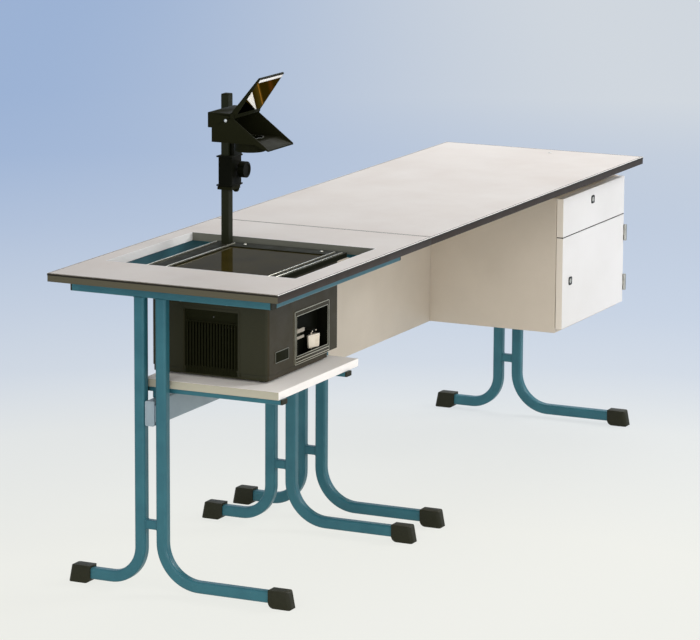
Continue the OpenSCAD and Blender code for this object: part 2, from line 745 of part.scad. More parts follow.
module control_panel() bench() color([0.08, 0.08, 0.07]) difference() {
  box(panel_x[0], panel_x[1], body_y + 1, body_y + panel_dep, panel_z[0], panel_z[1]);
  difference() {
    box(panel_x[0] + 2, panel_x[1] - 2, body_y, body_y + panel_dep - 3, panel_z[0] + 2, panel_z[1] - 2);
    box(rocker_x - 15, rocker_x + 15, rocker_y - 6, body_y + panel_dep,
      rocker_z - rocker_h / 2 - 7, rocker_z + rocker_h / 2 + 7);
  }
  box(lever_x - 6, lever_x + 2 * lever_t + lamp_step + 6, body_y, body_y + panel_dep + 1,
    lever_z - 2, lever_z + lever_t + 2);
  box(rocker_x - rocker_w / 2 - 2, rocker_x + rocker_w / 2 + 2, body_y, rocker_y + 9,
    rocker_z - rocker_h / 2 - 1, rocker_z + rocker_h / 2 + 1);
  translate([rocker_x, rocker_y, rocker_z - rocker_h / 2 - 5]) cylinder(r = pivot_r + 0.05, h = rocker_h + 10);
}
module rocker_switch() bench() color([0.87, 0.82, 0.70]) {
  translate([rocker_x, rocker_y, rocker_z - rocker_h / 2]) linear_extrude(rocker_h) polygon([
    [-rocker_w / 2, -4], [0, -7], [rocker_w / 2, -12], [rocker_w / 2 - 3, 2], [0, 5], [3 - rocker_w / 2, 2]
  ]);
  translate([rocker_x, rocker_y, rocker_z - rocker_h / 2 - 4]) cylinder(r = pivot_r, h = rocker_h + 8);
}

// Lamps on a slide, with a lever in the control panel
guide_reach = 56;
module lamp_changer() bench() color([0.75, 0.74, 0.70]) {
  box(lever_x, lever_x + 22, body_y + 8, body_y + 18, lever_z - 8, lever_z + lever_t + 8);
  box(lever_x + 5, lever_x + 5 + 2 * lever_t, body_y + 18, lamp_y + guide_reach, lever_z, lever_z + lever_t);
  box(lever_x + 5, lamp_x + 22, lamp_y - 20, lamp_y + 20, lever_z, lever_z + lever_t);
}
module lamps() bench() color("white") for (dx = [0, -lamp_step])
  translate([lamp_x + dx, lamp_y, lever_z + lever_t]) union() {
    cylinder(r = 6, h = 8);
    translate([0, 0, 8]) cylinder(r = 8, h = 22);
    translate([0, 0, 30]) sphere(8);
  }
module lamp_reflector() bench() color("silver") {
  translate([lamp_x, lamp_y, base_z + 4]) {
    cylinder(r = 8, h = 20);
    translate([0, 0, 20]) difference() {
      cylinder(r = 46, h = 24);
      translate([0, 0, 56]) sphere(52);
    }
  }
  for (dy = [-guide_reach, guide_reach - 6])
    box(lever_x - 2, lamp_x + 24, lamp_y + dy, lamp_y + dy + 6, base_z + 4, lever_z - run_gap);
}
shaft_r = 3;
module fan_motor() bench() color([0.3, 0.3, 0.3]) {
  translate([fan_x + 12, fan_y, fan_z]) rotate([0, 90, 0]) cylinder(r = 20, h = 30);
  translate([fan_x + 2, fan_y, fan_z]) rotate([0, 90, 0]) cylinder(r = shaft_r, h = 11);
  box(fan_x + 14, fan_x + 40, fan_y - 12, fan_y + 12, base_z + 4, fan_z - 10);
}
module fan_rotor() bench() color([0.2, 0.2, 0.2]) translate([fan_x, fan_y, fan_z]) rotate([0, 90, 0])
  difference() {
    union() {
      cylinder(r = 15, h = 11);
      for (k = [0 : 6]) rotate([0, 0, k * 360 / 7]) translate([9, -7, 1.5]) rotate([24, 0, 0])
        cube([fan_r - 9, 14, 1.6]);
    }
    translate([0, 0, 1]) cylinder(r = shaft_r + 0.05, h = 11);
  }
inlet_x = body_x + 60;
inlet_z = body_z + 30;
module mains_inlet() bench() color([0.08, 0.08, 0.08]) difference() {
  box(inlet_x - 16, inlet_x + 16, body_y1 - 18, body_y1 + 2, inlet_z - 12, inlet_z + 12);
  box(inlet_x - 12, inlet_x + 12, body_y1 - 14, body_y1 + 3, inlet_z - 8, inlet_z + 8);
}

// Stage
stage_x = body_x + stage_dx;
module stage_frame() bench() color([0.13, 0.13, 0.11]) difference() {
  slab(stage_x, stage_x + stage_len, body_y, body_y + stage_dep, stage_z, stage_top, 9);
  window(0, stage_z - 1, stage_top + 1);
  window(6, glass_z, stage_top + 1);
  box(column_x - column_t / 2 - fit, column_x + column_t / 2 + fit, column_y - column_w / 2 - fit,
    column_y + column_w / 2 + fit, stage_z - 1, stage_top + 1);
}
module window(grow, z0, z1) {
  box(body_x + window_x - grow, body_x + window_x + window_len + grow, body_y + window_y - grow,
    body_y + window_y + window_dep + grow, z0, z1);
}
module stage_glass() bench() color([0.25, 0.27, 0.24]) window(6 - fit, glass_z, glass_z + glass_t);
module fresnel_lens() bench() color([0.45, 0.47, 0.45]) window(-fit, glass_z - 3, glass_z);
guide_y = [4, 24, window_y + window_dep + 8, stage_dep - 7];
screw_y = [60, 268];
module film_guides() bench() color("gainsboro") {
  for (dy = guide_y) box(stage_x + 4, stage_x + stage_len - 22, body_y + dy, body_y + dy + 2.5,
    stage_top, stage_top + 3);
  for (dy = screw_y) translate([stage_x + stage_len - 23, body_y + dy, stage_top]) cylinder(r = 4, h = 1.6);
}

// Column, rack, carriage and focus knob
module column() bench() color(olive) {
  difference() {
    slab(column_x - column_t / 2, column_x + column_t / 2, column_y - column_w / 2, column_y + column_w / 2,
      stage_z - 30, column_top, 2);
    slab(column_x - column_t / 2 + 2, column_x + column_t / 2 - 2, column_y - column_w / 2 + 2,
      column_y + column_w / 2 - 2, stage_z - 31, column_top - 3, 1);
  }
  difference() {
    slab(column_x - 20, column_x + 17, column_y - 18, column_y + 18, stage_z - 10, stage_z, 4);
    box(column_x - column_t / 2 + 1, column_x + column_t / 2 - 1, column_y - column_w / 2 + 1,
      column_y + column_w / 2 - 1, stage_z - 11, stage_z + 1);
    box(body_x1 - 60, body_x1 + 0.3, body_y, body_y1, stage_z - 11, stage_z + 1);
  }
}
rack_z0 = knob_z - 41.5 * tooth_pitch;
rack_z1 = column_top - 4;
rack_teeth = floor((rack_z1 - rack_z0 - 4) / tooth_pitch);
rack_outline = concat([[0, 0], [0, rack_z1 - rack_z0], [rack_t, rack_z1 - rack_z0]],
  [for (k = [rack_teeth : -1 : 1], e = [0, 1])
    [rack_t + tooth * (1 - e), (k - 0.5 * e) * tooth_pitch]],
  [[rack_t, 0]]);
module focus_rack() bench() color("silver")
  translate([column_x + column_t / 2, column_y + rack_w / 2, rack_z0]) rotate([90, 0, 0])
    linear_extrude(rack_w) polygon(rack_outline);

module column_way(z0, z1, gap) {
  slab(column_x - column_t / 2 - gap, column_x + column_t / 2 + gap, column_y - column_w / 2 - gap,
    column_y + column_w / 2 + gap, z0, z1, 2 + gap);
  box(column_x, column_x + column_t / 2 + rack_t + tooth + 1, column_y - rack_w / 2 - 1,
    column_y + rack_w / 2 + 1, z0, z1);
}
arm_outline = [
  [lens_x + 10, lens_y + housing_rear], [lens_x + housing_w / 2, lens_y + housing_rear],
  [carriage_x1, carriage_y0], [carriage_x1, carriage_y1], [carriage_x0, carriage_y1]
];
module focus_carriage() bench() color(olive) difference() {
  union() {
    slab(carriage_x0, carriage_x1, carriage_y0, carriage_y1, carriage_z, carriage_z + carriage_h, 4);
    for (z = [carriage_z + 2, carriage_z + carriage_h - 4])
      slab(carriage_x0 - 4, carriage_x1 + 2, carriage_y0 - 3, carriage_y1 + 4, z, z + 3, 4);
    box(column_x - 4, carriage_x1, carriage_y0, column_y - column_w / 2,
      carriage_z + carriage_h - 1, arm_z0 + 1);
    translate([0, 0, arm_z0]) linear_extrude(arm_z1 - arm_z0) polygon(arm_outline);
  }
  column_way(carriage_z - 1, arm_z1 + 1, run_gap);
  translate([pinion_x, column_y + 8, knob_z]) rotate([90, 0, 0]) cylinder(r = pinion_r + 2, h = 16);
  translate([pinion_x, carriage_y1 + 1, knob_z]) rotate([90, 0, 0])
    cylinder(r = 3.05, h = carriage_y1 - carriage_y0 + 2);
}
module focus_knob() bench() color([0.09, 0.09, 0.08]) translate([pinion_x, 0, knob_z]) {
  translate([0, carriage_y1 - 1, 0]) rotate([90, 0, 0]) cylinder(r = 3, h = carriage_y1 - carriage_y0 + 5);
  translate([0, column_y + 5, 0]) rotate([90, 0, 0]) linear_extrude(10) polygon(
    [for (k = [0 : 2 * pinion_teeth - 1])
      let (a = k * 180 / pinion_teeth, r = pinion_r - (k % 2) * tooth) [r * cos(a), r * sin(a)]]);
  translate([0, carriage_y0 - 4, 0]) rotate([90, 0, 0]) difference() {
    cylinder(r = knob_r, h = knob_len);
    for (a = [0 : 20 : 359]) rotate([0, 0, a]) translate([knob_r + 0.8, 0, 3])
      cylinder(r = 1.6, h = knob_len - 6);
    translate([0, 0, knob_len - 1.5]) cylinder(r = knob_r - 6, h = 2);
  }
}

// Lens housing, a tray whose side walls slope down to its tip
module side_cut(x0, x1, outline) {
  translate([lens_x + x0, lens_y, 0]) rotate([90, 0, 90]) linear_extrude(x1 - x0) polygon(outline);
}
module housing_bore(r, z0, z1) head_frame() translate([0, 0, z0]) cylinder(r = r, h = z1 - z0);
module lens_housing() bench() color([0.13, 0.13, 0.11]) difference() {
  t = housing_wall;
  z0 = housing_z0;
  side = housing_w / 2;
  cap_y = housing_rear + cap_over;
  wall = [
    [-housing_front, tip_z], [-housing_front, tip_z + 4], [hinge_back - 4, hinge_z - 6],
    [hinge_back - 4, housing_top], [cap_y, housing_top], [cap_y, cap_z], [housing_rear, cap_z],
    [housing_rear, z0], [-floor_bend, z0]
  ];
  skin = [
    [-housing_front, tip_z], [-housing_front, tip_z + t], [-floor_bend, z0 + t], [housing_rear - t, z0 + t],
    [housing_rear - t, cap_z + t], [cap_y - t, cap_z + t], [cap_y - t, housing_top - t],
    [hinge_back + 9, housing_top - t], [hinge_back + 9, housing_top], [cap_y, housing_top],
    [cap_y, cap_z], [housing_rear, cap_z], [housing_rear, z0], [-floor_bend, z0]
  ];
  union() {
    side_cut(-side, t - side, wall);
    side_cut(side - t, side, wall);
    side_cut(-side, side, skin);
  }
  housing_bore(spigot_r + fit, z0 - 1, z0 + t + 1);
  translate([lens_x - side - 1, lens_y + hinge_back, hinge_z]) rotate([0, 90, 0])
    cylinder(r = hinge_pin_r + 0.05, h = housing_w + 2);
}
module objective_barrel() bench() color([0.08, 0.08, 0.08]) difference() {
  z0 = housing_z0 - barrel_len;
  union() {
    housing_bore(barrel_r, z0, housing_z0);
    housing_bore(spigot_r, housing_z0 - 1, housing_z0 + 6);
    housing_bore(barrel_r + 1, z0, z0 + 5);
  }
  housing_bore(lens_r + fit, z0 - 1, housing_z0 + 7);
}
module objective_lens() bench() color([0.7, 0.78, 0.8]) head_frame()
  translate([0, 0, housing_z0 - 6]) intersection() {
    translate([0, 0, 50 - 12]) sphere(50, $fn = 96);
    translate([0, 0, 12 - 50]) sphere(50, $fn = 96);
    cylinder(r = lens_r, h = 40, center = true);
  }
module head_screws() bench() color("silver")
  for (side = [-1, 1], spot = [[30, hinge_z - 10], [hinge_back, hinge_z]])
    translate([lens_x + side * (housing_w / 2 + 0.8), lens_y + spot[0], spot[1]]) rotate([0, 90, 0])
      cylinder(r = 4, h = 1.6, center = true);

// Mirror flap on its pin
module flap_frame() translate([lens_x, lens_y + hinge_back, hinge_z]) rotate([-mirror_slope, 0, 0]) children();
module mirror_flap() bench() color([0.10, 0.10, 0.09]) flap_frame() {
  difference() {
    union() {
      translate([-flap_w / 2, 0, 0]) rotate([90, 0, 90]) linear_extrude(flap_w) polygon([
        [-flap_len, -flap_under], [-flap_len, flap_tip - flap_under], [-10, flap_root - flap_under],
        [0, 6], [0, -flap_under]
      ]);
      translate([-flap_w / 2, 0, 0]) rotate([0, 90, 0]) cylinder(r = 6, h = flap_w);
    }
    translate([3 - flap_w / 2, 3 - flap_len, -flap_under - 1]) cube([flap_w - 6, flap_len - 14, mirror_t + 1]);
  }
  translate([-housing_w / 2, 0, 0]) rotate([0, 90, 0]) cylinder(r = hinge_pin_r, h = housing_w);
}
module mirror_glass() bench() color("lightsteelblue") flap_frame()
  translate([3 + fit - flap_w / 2, 3 + fit - flap_len, -flap_under])
    cube([flap_w - 6 - 2 * fit, flap_len - 14 - 2 * fit, mirror_t]);

projector_top();
projector_top_edge();
cutout_edge();
desk_top();
desk_top_edge();
table_near_frame();
table_far_frame();
desk_near_frame();
desk_far_frame();
table_long_rails();
desk_long_rails();
foot_caps();
rail_plugs();
stretcher_beam();
shelf_board();
shelf_rails();
fixing_plates();
modesty_panel();
cabinet_sides();
cabinet_boards();
cabinet_back();
drawer_front();
drawer_box();
drawer_bottom();
runner_rails();
runner_slides();
door_panel();
hinge_side_leaves();
hinge_door_leaves();
hinge_pins();
drawer_lock_case();
drawer_lock_plug();
door_lock_case();
door_lock_plug();
projector_feet();
projector_base();
projector_body();
side_grille();
control_panel();
rocker_switch();
lamp_changer();
lamps();
lamp_reflector();
fan_motor();
fan_rotor();
mains_inlet();
stage_frame();
stage_glass();
fresnel_lens();
film_guides();
column();
focus_rack();
focus_carriage();
focus_knob();
lens_housing();
objective_barrel();
objective_lens();
head_screws();
mirror_flap();
mirror_glass();
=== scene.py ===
"""Looks of the projector table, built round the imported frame."""
import math

import bmesh
import bpy
from mathutils import Matrix, Vector


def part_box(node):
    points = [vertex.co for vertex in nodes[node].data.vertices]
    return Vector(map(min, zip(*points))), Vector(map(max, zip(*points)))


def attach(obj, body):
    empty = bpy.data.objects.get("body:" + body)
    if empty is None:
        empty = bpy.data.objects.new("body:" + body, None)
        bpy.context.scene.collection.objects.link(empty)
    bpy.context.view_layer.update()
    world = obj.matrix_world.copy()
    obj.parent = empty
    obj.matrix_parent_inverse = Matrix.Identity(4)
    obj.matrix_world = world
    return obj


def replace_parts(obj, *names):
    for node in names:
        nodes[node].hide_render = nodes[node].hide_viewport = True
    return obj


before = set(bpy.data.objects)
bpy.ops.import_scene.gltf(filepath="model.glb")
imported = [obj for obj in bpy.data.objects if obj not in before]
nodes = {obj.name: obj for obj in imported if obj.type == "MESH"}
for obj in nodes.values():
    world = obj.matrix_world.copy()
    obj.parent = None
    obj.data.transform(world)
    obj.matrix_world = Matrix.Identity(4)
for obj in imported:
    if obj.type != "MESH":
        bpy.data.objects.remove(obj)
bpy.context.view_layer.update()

# Places in mm, from the near end (X), the front edge (Y) and the floor (Z)
LENGTH = 2275.0
DEPTH = 600.0
TOP = 760.0
TABLE_X = (0.0, 844.0)
DESK_X = (845.0, 2275.0)
FRAME_X = (98.0, 777.0, 948.0, 2221.0)   # the four leg frames
FACE_X = 184.0                           # the projector's side with the grille
FACE_Y = 117.0                           # the projector's front
PANEL_Y = 125.0                          # floor of its control panel
REAR_Y = 424.0                           # the projector's rear
LENS = (392.0, 270.0)                    # axis of the lens
PIVOT = (392.0, 283.0, 1106.0)           # hinge of the mirror flap

# The ways in which a surface looks or an axis points
UP, DOWN = (0, 0, 1), (0, 0, -1)
FRONT, REAR = (0, -1, 0), (0, 1, 0)
NEAR, FAR = (-1, 0, 0), (1, 0, 0)
X, Y, Z = range(3)


def place(x, y, z):
    """A point given in mm as above, in metres in the row frame."""
    return Vector(((x - LENGTH / 2) / 1000, (y - DEPTH / 2) / 1000, z / 1000))


def bench(name):
    """The two corners of a node's box, in mm as above."""
    return [Vector((p[0] * 1000 + LENGTH / 2, p[1] * 1000 + DEPTH / 2, p[2] * 1000))
            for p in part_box(name)]


# ---------------------------------------------------------------- materials

def linear(r, g, b):
    """An sRGB colour of 0 to 255 as linear values."""
    return tuple((c / 255 / 12.92 if c <= 10 else ((c / 255 + 0.055) / 1.055) ** 2.4)
                 for c in (r, g, b)) + (1.0,)


# Sockets of a Mix node that mixes colours
MIX_A, MIX_B, MIX_RESULT = 6, 7, 2


class Tree:
    """The nodes of a material or a world, built step by step."""

    def __init__(self, owner):
        owner.use_nodes = True
        self.tree = owner.node_tree
        self.tree.nodes.clear()

    def new(self, kind, *inputs, **settings):
        """A node; each input is a socket with its value or with the output that feeds it."""
        node = self.tree.nodes.new(kind)
        for key, value in settings.items():
            setattr(node, key, value)
        for socket, value in inputs:
            if isinstance(value, bpy.types.NodeSocket):
                self.tree.links.new(value, node.inputs[socket])
            else:
                node.inputs[socket].default_value = value
        return node

    def ramp(self, value, low, high, to_low=0.0, to_high=1.0):
        """Carries low to high over to to_low to to_high, and goes no further."""
        node = self.new("ShaderNodeMapRange", ("Value", value), ("From Min", low),
                        ("From Max", high), ("To Min", to_low), ("To Max", to_high))
        return node.outputs[0]

    def math(self, operation, *values):
        """The output of a Math node."""
        return self.new("ShaderNodeMath", *enumerate(values), operation=operation).outputs[0]

    def vector(self, operation, *values):
        """The outputs of a Vector Math node."""
        return self.new("ShaderNodeVectorMath", *enumerate(values), operation=operation).outputs

    def mix(self, factor, a, b):
        """Colour a where factor is 0 and colour b where it is 1."""
        node = self.new("ShaderNodeMix", (0, factor), (MIX_A, a), (MIX_B, b), data_type="RGBA")
        return node.outputs[MIX_RESULT]

    def colours(self, value, stops):
        """Colours along a value; stops holds pairs of a place, 0 to 1, and a linear colour."""
        node = self.new("ShaderNodeValToRGB", (0, value))
        made = node.color_ramp.elements
        while len(made) < len(stops):
            made.new(0.5)
        for element, (at, colour) in zip(made, stops):
            element.position = at
            element.color = colour
        return node.outputs[0]

    def shown(self):
        """1 for rays that show the background: from the camera, in gloss and through glass."""
        path = self.new("ShaderNodeLightPath").outputs
        direct = self.math("MAXIMUM", path["Is Camera Ray"], path["Is Glossy Ray"])
        return self.math("MAXIMUM", direct, path["Is Transmission Ray"])


class Look(Tree):
    """A material of the object."""

    def __init__(self, name, rough, metallic=0.0, ior=1.5, coat=0.0, coat_rough=0.1,
                 transmission=0.0, gloss=0.5):
        self.material = bpy.data.materials.new("look_" + name)
        super().__init__(self.material)
        self.shader = self.new(
            "ShaderNodeBsdfPrincipled", ("Roughness", rough), ("Metallic", metallic),
            ("IOR", ior), ("Coat Weight", coat), ("Coat Roughness", coat_rough),
            ("Transmission Weight", transmission), ("Specular IOR Level", gloss))
        self.new("ShaderNodeOutputMaterial", (0, self.shader.outputs[0]))
        self.coords = self.new("ShaderNodeTexCoord").outputs

    def feed(self, socket, value):
        """Links an output to a socket of the shader."""
        self.tree.links.new(value, self.shader.inputs[socket])
        return self

    def noise(self, scale, detail=3.0, stretch=(1, 1, 1), rough=0.55):
        """Noise over the object; scale is in cycles a metre."""
        mapping = self.new("ShaderNodeMapping", ("Vector", self.coords["Object"]),
                           ("Scale", stretch))
        node = self.new("ShaderNodeTexNoise", ("Vector", mapping.outputs[0]), ("Scale", scale),
                        ("Detail", detail), ("Roughness", rough))
        return node.outputs["Fac"]

    def colour(self, value):
        return self.feed("Base Color", value)

    def rough(self, value, low, high):
        return self.feed("Roughness", self.ramp(value, 0.3, 0.7, low, high))

    def bump(self, height, strength, distance):
        """Relief; distance is its depth in metres. A second call adds its relief to the first."""
        inputs = [("Height", height), ("Strength", strength), ("Distance", distance)]
        for before in self.shader.inputs["Normal"].links:
            inputs.append(("Normal", before.from_socket))
        return self.feed("Normal", self.new("ShaderNodeBump", *inputs).outputs[0])

    def facing(self, axis):
        """1 where the object's own surface looks along an axis."""
        return self.ramp(self.vector("DOT_PRODUCT", self.coords["Normal"], axis)["Value"], 0.6, 0.8)

    def height(self, low, high):
        """0 below low and 1 above high, in metres over the floor."""
        split = self.new("ShaderNodeSeparateXYZ", (0, self.coords["Object"]))
        return self.ramp(split.outputs["Z"], low, high)

    def from_point(self, point):
        """The way from a point, given in mm, to each spot of the surface."""
        return self.vector("SUBTRACT", self.coords["Object"], place(*point))[0]


def board(name, colour, dark, rough=(0.38, 0.5), edge=None, under=None):
    """Coated board or laminate: a fine pebble grain, faint clouds and smudges.

    The edge is painted shade: a colour for all sides but the top and one other, which face the
    light, standing in for the shade on them; its way follows the colour.
    """
    look = Look(name, sum(rough) / 2, gloss=0.14)
    clouds = look.ramp(look.noise(5.0, 4.0), 0.35, 0.7)
    base = look.mix(clouds, linear(*colour), linear(*dark))
    grain = look.ramp(look.noise(900.0, 2.0), 0.62, 0.74)
    base = look.mix(look.math("MULTIPLY", grain, 0.22), base, linear(*[c * 0.8 for c in dark]))
    # painted shade: the sides that face away from the light get the edge colour
    if edge:
        lit_faces = look.math("MAXIMUM", look.facing(UP), look.facing(edge[1]))
        base = look.mix(lit_faces, linear(*edge[0]), base)
    if under:
        base = look.mix(look.facing(DOWN), base, linear(*under))
    look.colour(base).rough(look.noise(9.0, 5.0), *rough)
    look.bump(look.noise(1500.0, 2.0), 0.10, 0.0001)
    look.bump(look.noise(14.0, 3.0), 0.05, 0.0006)
    return look.material


def paint(name, colour, dark, light):
    """Powder coat: orange peel, small changes of shade and scuffs low on the feet."""
    look = Look(name, 0.35, coat=0.12, coat_rough=0.2, gloss=0.25)
    shade = look.ramp(look.noise(16.0, 4.0), 0.35, 0.7)
    base = look.mix(shade, linear(*colour), linear(*dark))
    scuff = look.ramp(look.noise(120.0, 5.0, (1, 1, 3), 0.7), 0.66, 0.72)
    low = look.ramp(look.height(0.015, 0.09), 0.0, 1.0, 0.55, 0.05)
    base = look.mix(look.math("MULTIPLY", scuff, low), base, linear(*light))
    look.colour(base).rough(look.noise(40.0, 4.0), 0.30, 0.42)
    look.bump(look.noise(420.0, 2.0), 0.22, 0.00025)
    look.bump(look.noise(1600.0, 1.0), 0.06, 0.0001)
    return look.material


DUST = linear(104, 100, 84)


def moulded(name, colour, light, rough=(0.45, 0.6), grain=1100.0, depth=0.3, dust=0.25,
            coat=0.0, gloss=0.2, side=None):
    """Moulded plastic or crackle paint: an even fine grain, with dust on what looks up.

    The side is the way in which one side looks that has another colour, painted light for how the
    light falls on that side, and that colour.
    """
    look = Look(name, sum(rough) / 2, coat=coat, coat_rough=0.3, gloss=gloss)
    pits = look.noise(grain, 2.0, rough=0.6)
    base = look.mix(look.ramp(pits, 0.45, 0.75), linear(*colour), linear(*light))
    wear = look.ramp(look.noise(30.0, 6.0, rough=0.7), 0.6, 0.75)
    base = look.mix(look.math("MULTIPLY", wear, 0.35), base, linear(*light))
    # painted light: the one side gets a lighter colour for the light falling on it
    if side:
        base = look.mix(look.facing(side[0]), base, linear(*side[1]))
    patches = look.ramp(look.noise(60.0, 5.0), 0.3, 0.8, 0.1, dust)
    base = look.mix(look.math("MULTIPLY", look.facing(UP), patches), base, DUST)
    look.colour(base).rough(look.noise(25.0, 4.0), *rough)
    look.bump(pits, depth, 0.00012)
    return look.material


def metal(name, colour, dark, rough, stretch=(1, 1, 14), grain=260.0, depth=0.12,
          dark_share=0.5):
    """Plated or brushed metal: fine drawn lines and a few dull patches."""
    look = Look(name, sum(rough) / 2, metallic=1.0)
    lines = look.noise(grain, 3.0, stretch)
    patch = look.ramp(look.noise(45.0, 5.0, rough=0.65), 0.5, 0.75, 0.0, dark_share)
    look.colour(look.mix(patch, linear(*colour), linear(*dark))).rough(lines, *rough)
    look.bump(lines, depth, 0.00006)
    return look.material


def clear(name, colour, tint, rough, ior=1.5, transmission=0.95, coat=0.0, gloss=0.5):
    """Glass or clear plastic, with faint smears in its polish."""
    look = Look(name, rough, ior=ior, transmission=transmission, coat=coat, coat_rough=0.03,
                gloss=gloss)
    smears = look.ramp(look.noise(12.0, 4.0), 0.4, 0.7)
    look.colour(look.mix(smears, linear(*colour), linear(*tint)))
    look.rough(look.noise(35.0, 5.0), rough, rough + 0.05)
    look.bump(look.noise(30.0, 2.0), 0.02, 0.0002)
    return look


RING_PITCH = 0.0014   # of the Fresnel lens, in metres


def fresnel():
    """Ringed acrylic over the dark inside of the projector."""
    look = clear("lens_plastic", (62, 60, 44), (84, 80, 60), 0.3, ior=1.2, transmission=0.12,
                 gloss=0.1)
    level = look.vector("MULTIPLY", look.from_point((*LENS, 0)), (1, 1, 0))[0]
    far = look.vector("LENGTH", level)["Value"]
    look.bump(look.math("FRACT", look.math("MULTIPLY", far, 1 / RING_PITCH)), 0.5, 0.0003)
    look.colour(look.mix(look.ramp(far, 0.02, 0.17), linear(92, 84, 54), linear(46, 43, 24)))
    return look.material


def dimpled():
    """The reflector's bright metal, with small dimples."""
    look = Look("reflector_metal", 0.16, metallic=1.0)
    cells = look.new("ShaderNodeTexVoronoi", ("Vector", look.coords["Object"]), ("Scale", 260.0))
    dull = look.ramp(look.noise(80.0, 4.0), 0.4, 0.75)
    look.colour(look.mix(dull, linear(232, 232, 230), linear(198, 199, 200)))
    look.rough(look.noise(60.0), 0.12, 0.25).bump(cells.outputs["Distance"], 0.12, 0.0003)
    return look.material


# Painted reflections of the scene in the mirror, in bands: place along their slant, 0 to 1, and
# colour
REFLECTION_BANDS = (
    (0.0, (20, 18, 10)), (0.22, (34, 22, 10)), (0.32, (96, 50, 24)), (0.42, (22, 20, 10)),
    (0.64, (20, 19, 9)), (0.68, (92, 66, 26)), (0.705, (206, 150, 62)), (0.73, (92, 74, 30)),
    (0.80, (66, 62, 30)), (0.9, (30, 29, 14)))
# Slants across the flap, which slopes 55 degrees in Y and Z, and where the painted reflections, the
# painted shadow and the painted glint lie, in metres
REFLECTION_SLANT = (-0.69, 0.5736, -0.8192)
PAINTED_SHADOW_SLANT = (-0.478, 0.5736, -0.8192)
REFLECTION_REACH = (-0.14, -0.03)
PAINTED_SHADOW_EDGE = (-0.0270, -0.0262)
GLINT_EDGE = (-0.0375, -0.0365)


def silvered():
    """A dark first-surface mirror with painted reflections in slanting bands, a painted shadow, and
    a white wedge at a lower corner that is a painted glint.
    """
    look = Look("mirror", 0.02, metallic=1.0)
    look.shader.inputs["Specular Tint"].default_value = (0.5, 0.46, 0.4, 1.0)
    spot = look.from_point(PIVOT)
    across = look.vector("DOT_PRODUCT", spot, REFLECTION_SLANT)["Value"]
    under = look.vector("DOT_PRODUCT", spot, PAINTED_SHADOW_SLANT)["Value"]
    # painted reflections of the scene, in slanting bands
    reflections = look.colours(look.ramp(across, *REFLECTION_REACH),
                         [(at, linear(*colour)) for at, colour in REFLECTION_BANDS])
    # painted shadow: a near-black part of the mirror
    painted_shadow = look.ramp(under, *PAINTED_SHADOW_EDGE)
    # painted glint: a white, non-metallic wedge at a lower corner
    glint = look.math("MULTIPLY", look.ramp(across, *GLINT_EDGE),
                      look.ramp(painted_shadow, 0.0, 1.0, 1.0, 0.0))
    haze = look.ramp(look.noise(60.0, 5.0), 0.5, 0.8, 0.0, 0.3)
    base = look.mix(painted_shadow, look.mix(haze, reflections, linear(30, 28, 20)), linear(12, 12, 6))
    look.colour(look.mix(glint, base, linear(252, 250, 246)))
    look.rough(look.noise(18.0, 5.0), 0.01, 0.05)
    look.feed("Metallic", look.ramp(glint, 0.0, 1.0, 1.0, 0.0))
    return look.material


LOOKS = {
    "laminate": board("laminate", (216, 212, 208), (209, 203, 198), (0.46, 0.58),
                      under=(168, 152, 132)),
    # painted light: the band's near side is lighter for the light falling on it
    "edge_strip": moulded("edge_strip", (56, 50, 46), (70, 64, 58), (0.4, 0.55), 700.0, 0.12,
                          0.05, gloss=0.06, side=(NEAR, (84, 81, 67))),
    "frame_paint": paint("frame_paint", (49, 104, 116), (42, 95, 108), (122, 146, 154)),
    "beam_paint": paint("beam_paint", (142, 158, 168), (132, 148, 158), (190, 200, 204)),
    "black_cap": moulded("black_cap", (31, 32, 18), (48, 48, 32), (0.5, 0.66), 900.0, 0.35, 0.2),
    # painted shade: all sides but the top and front get a greige tint for the shade on them
    "light_board": board("light_board", (226, 225, 225), (220, 219, 218), (0.36, 0.46),
                         edge=((232, 224, 213), FRONT)),
    "greige_board": board("greige_board", (214, 204, 190), (206, 196, 182), (0.44, 0.56)),
    "drawer_board": board("drawer_board", (206, 202, 194), (196, 192, 184), (0.42, 0.54)),
    "steel": metal("steel", (190, 189, 182), (140, 138, 130), (0.24, 0.40)),
    "lock_metal": metal("lock_metal", (92, 90, 82), (52, 50, 44), (0.2, 0.34), (1, 1, 1),
                        400.0, 0.05, 0.3),
    # painted reflection: the projector's front is lighter for the sheen it shows
    "projector_shell": moulded("projector_shell", (39, 39, 22), (54, 53, 33), (0.42, 0.56),
                               1300.0, 0.35, 0.2, side=(FRONT, (51, 45, 27))),
    "black_plastic": moulded("black_plastic", (23, 24, 11), (34, 35, 20), (0.5, 0.66), 1500.0,
                             0.25, 0.05, gloss=0.03),
    "rubber_foot": moulded("rubber_foot", (28, 28, 27), (46, 46, 44), (0.7, 0.85), 500.0, 0.4,
                           0.3),
    "cream_plastic": moulded("cream_plastic", (226, 214, 194), (238, 230, 214), (0.28, 0.4),
                             900.0, 0.05, 0.1, coat=0.3, gloss=0.5),
    "lamp_glass": clear("lamp_glass", (244, 244, 240), (230, 232, 230), 0.01).material,
    "reflector_metal": dimpled(),
    "motor_metal": metal("motor_metal", (122, 122, 120), (84, 84, 82), (0.32, 0.5)),
    "stage_pane": clear("stage_pane", (80, 71, 32), (68, 60, 27), 0.02, ior=1.03,
                        transmission=0.5).material,
    "lens_plastic": fresnel(),
    "lens_glass": clear("lens_glass", (226, 236, 240), (214, 222, 236), 0.005, ior=1.52,
                        transmission=1.0, coat=0.3).material,
    "mirror": silvered(),
}
for node in nodes.values():
    for held in node.material_slots:
        held.material = LOOKS[held.material.name.split(".")[0]]


def dress(material, *names):
    """Gives CAD nodes a material of their own."""
    for name in names:
        nodes[name].material_slots[0].material = material


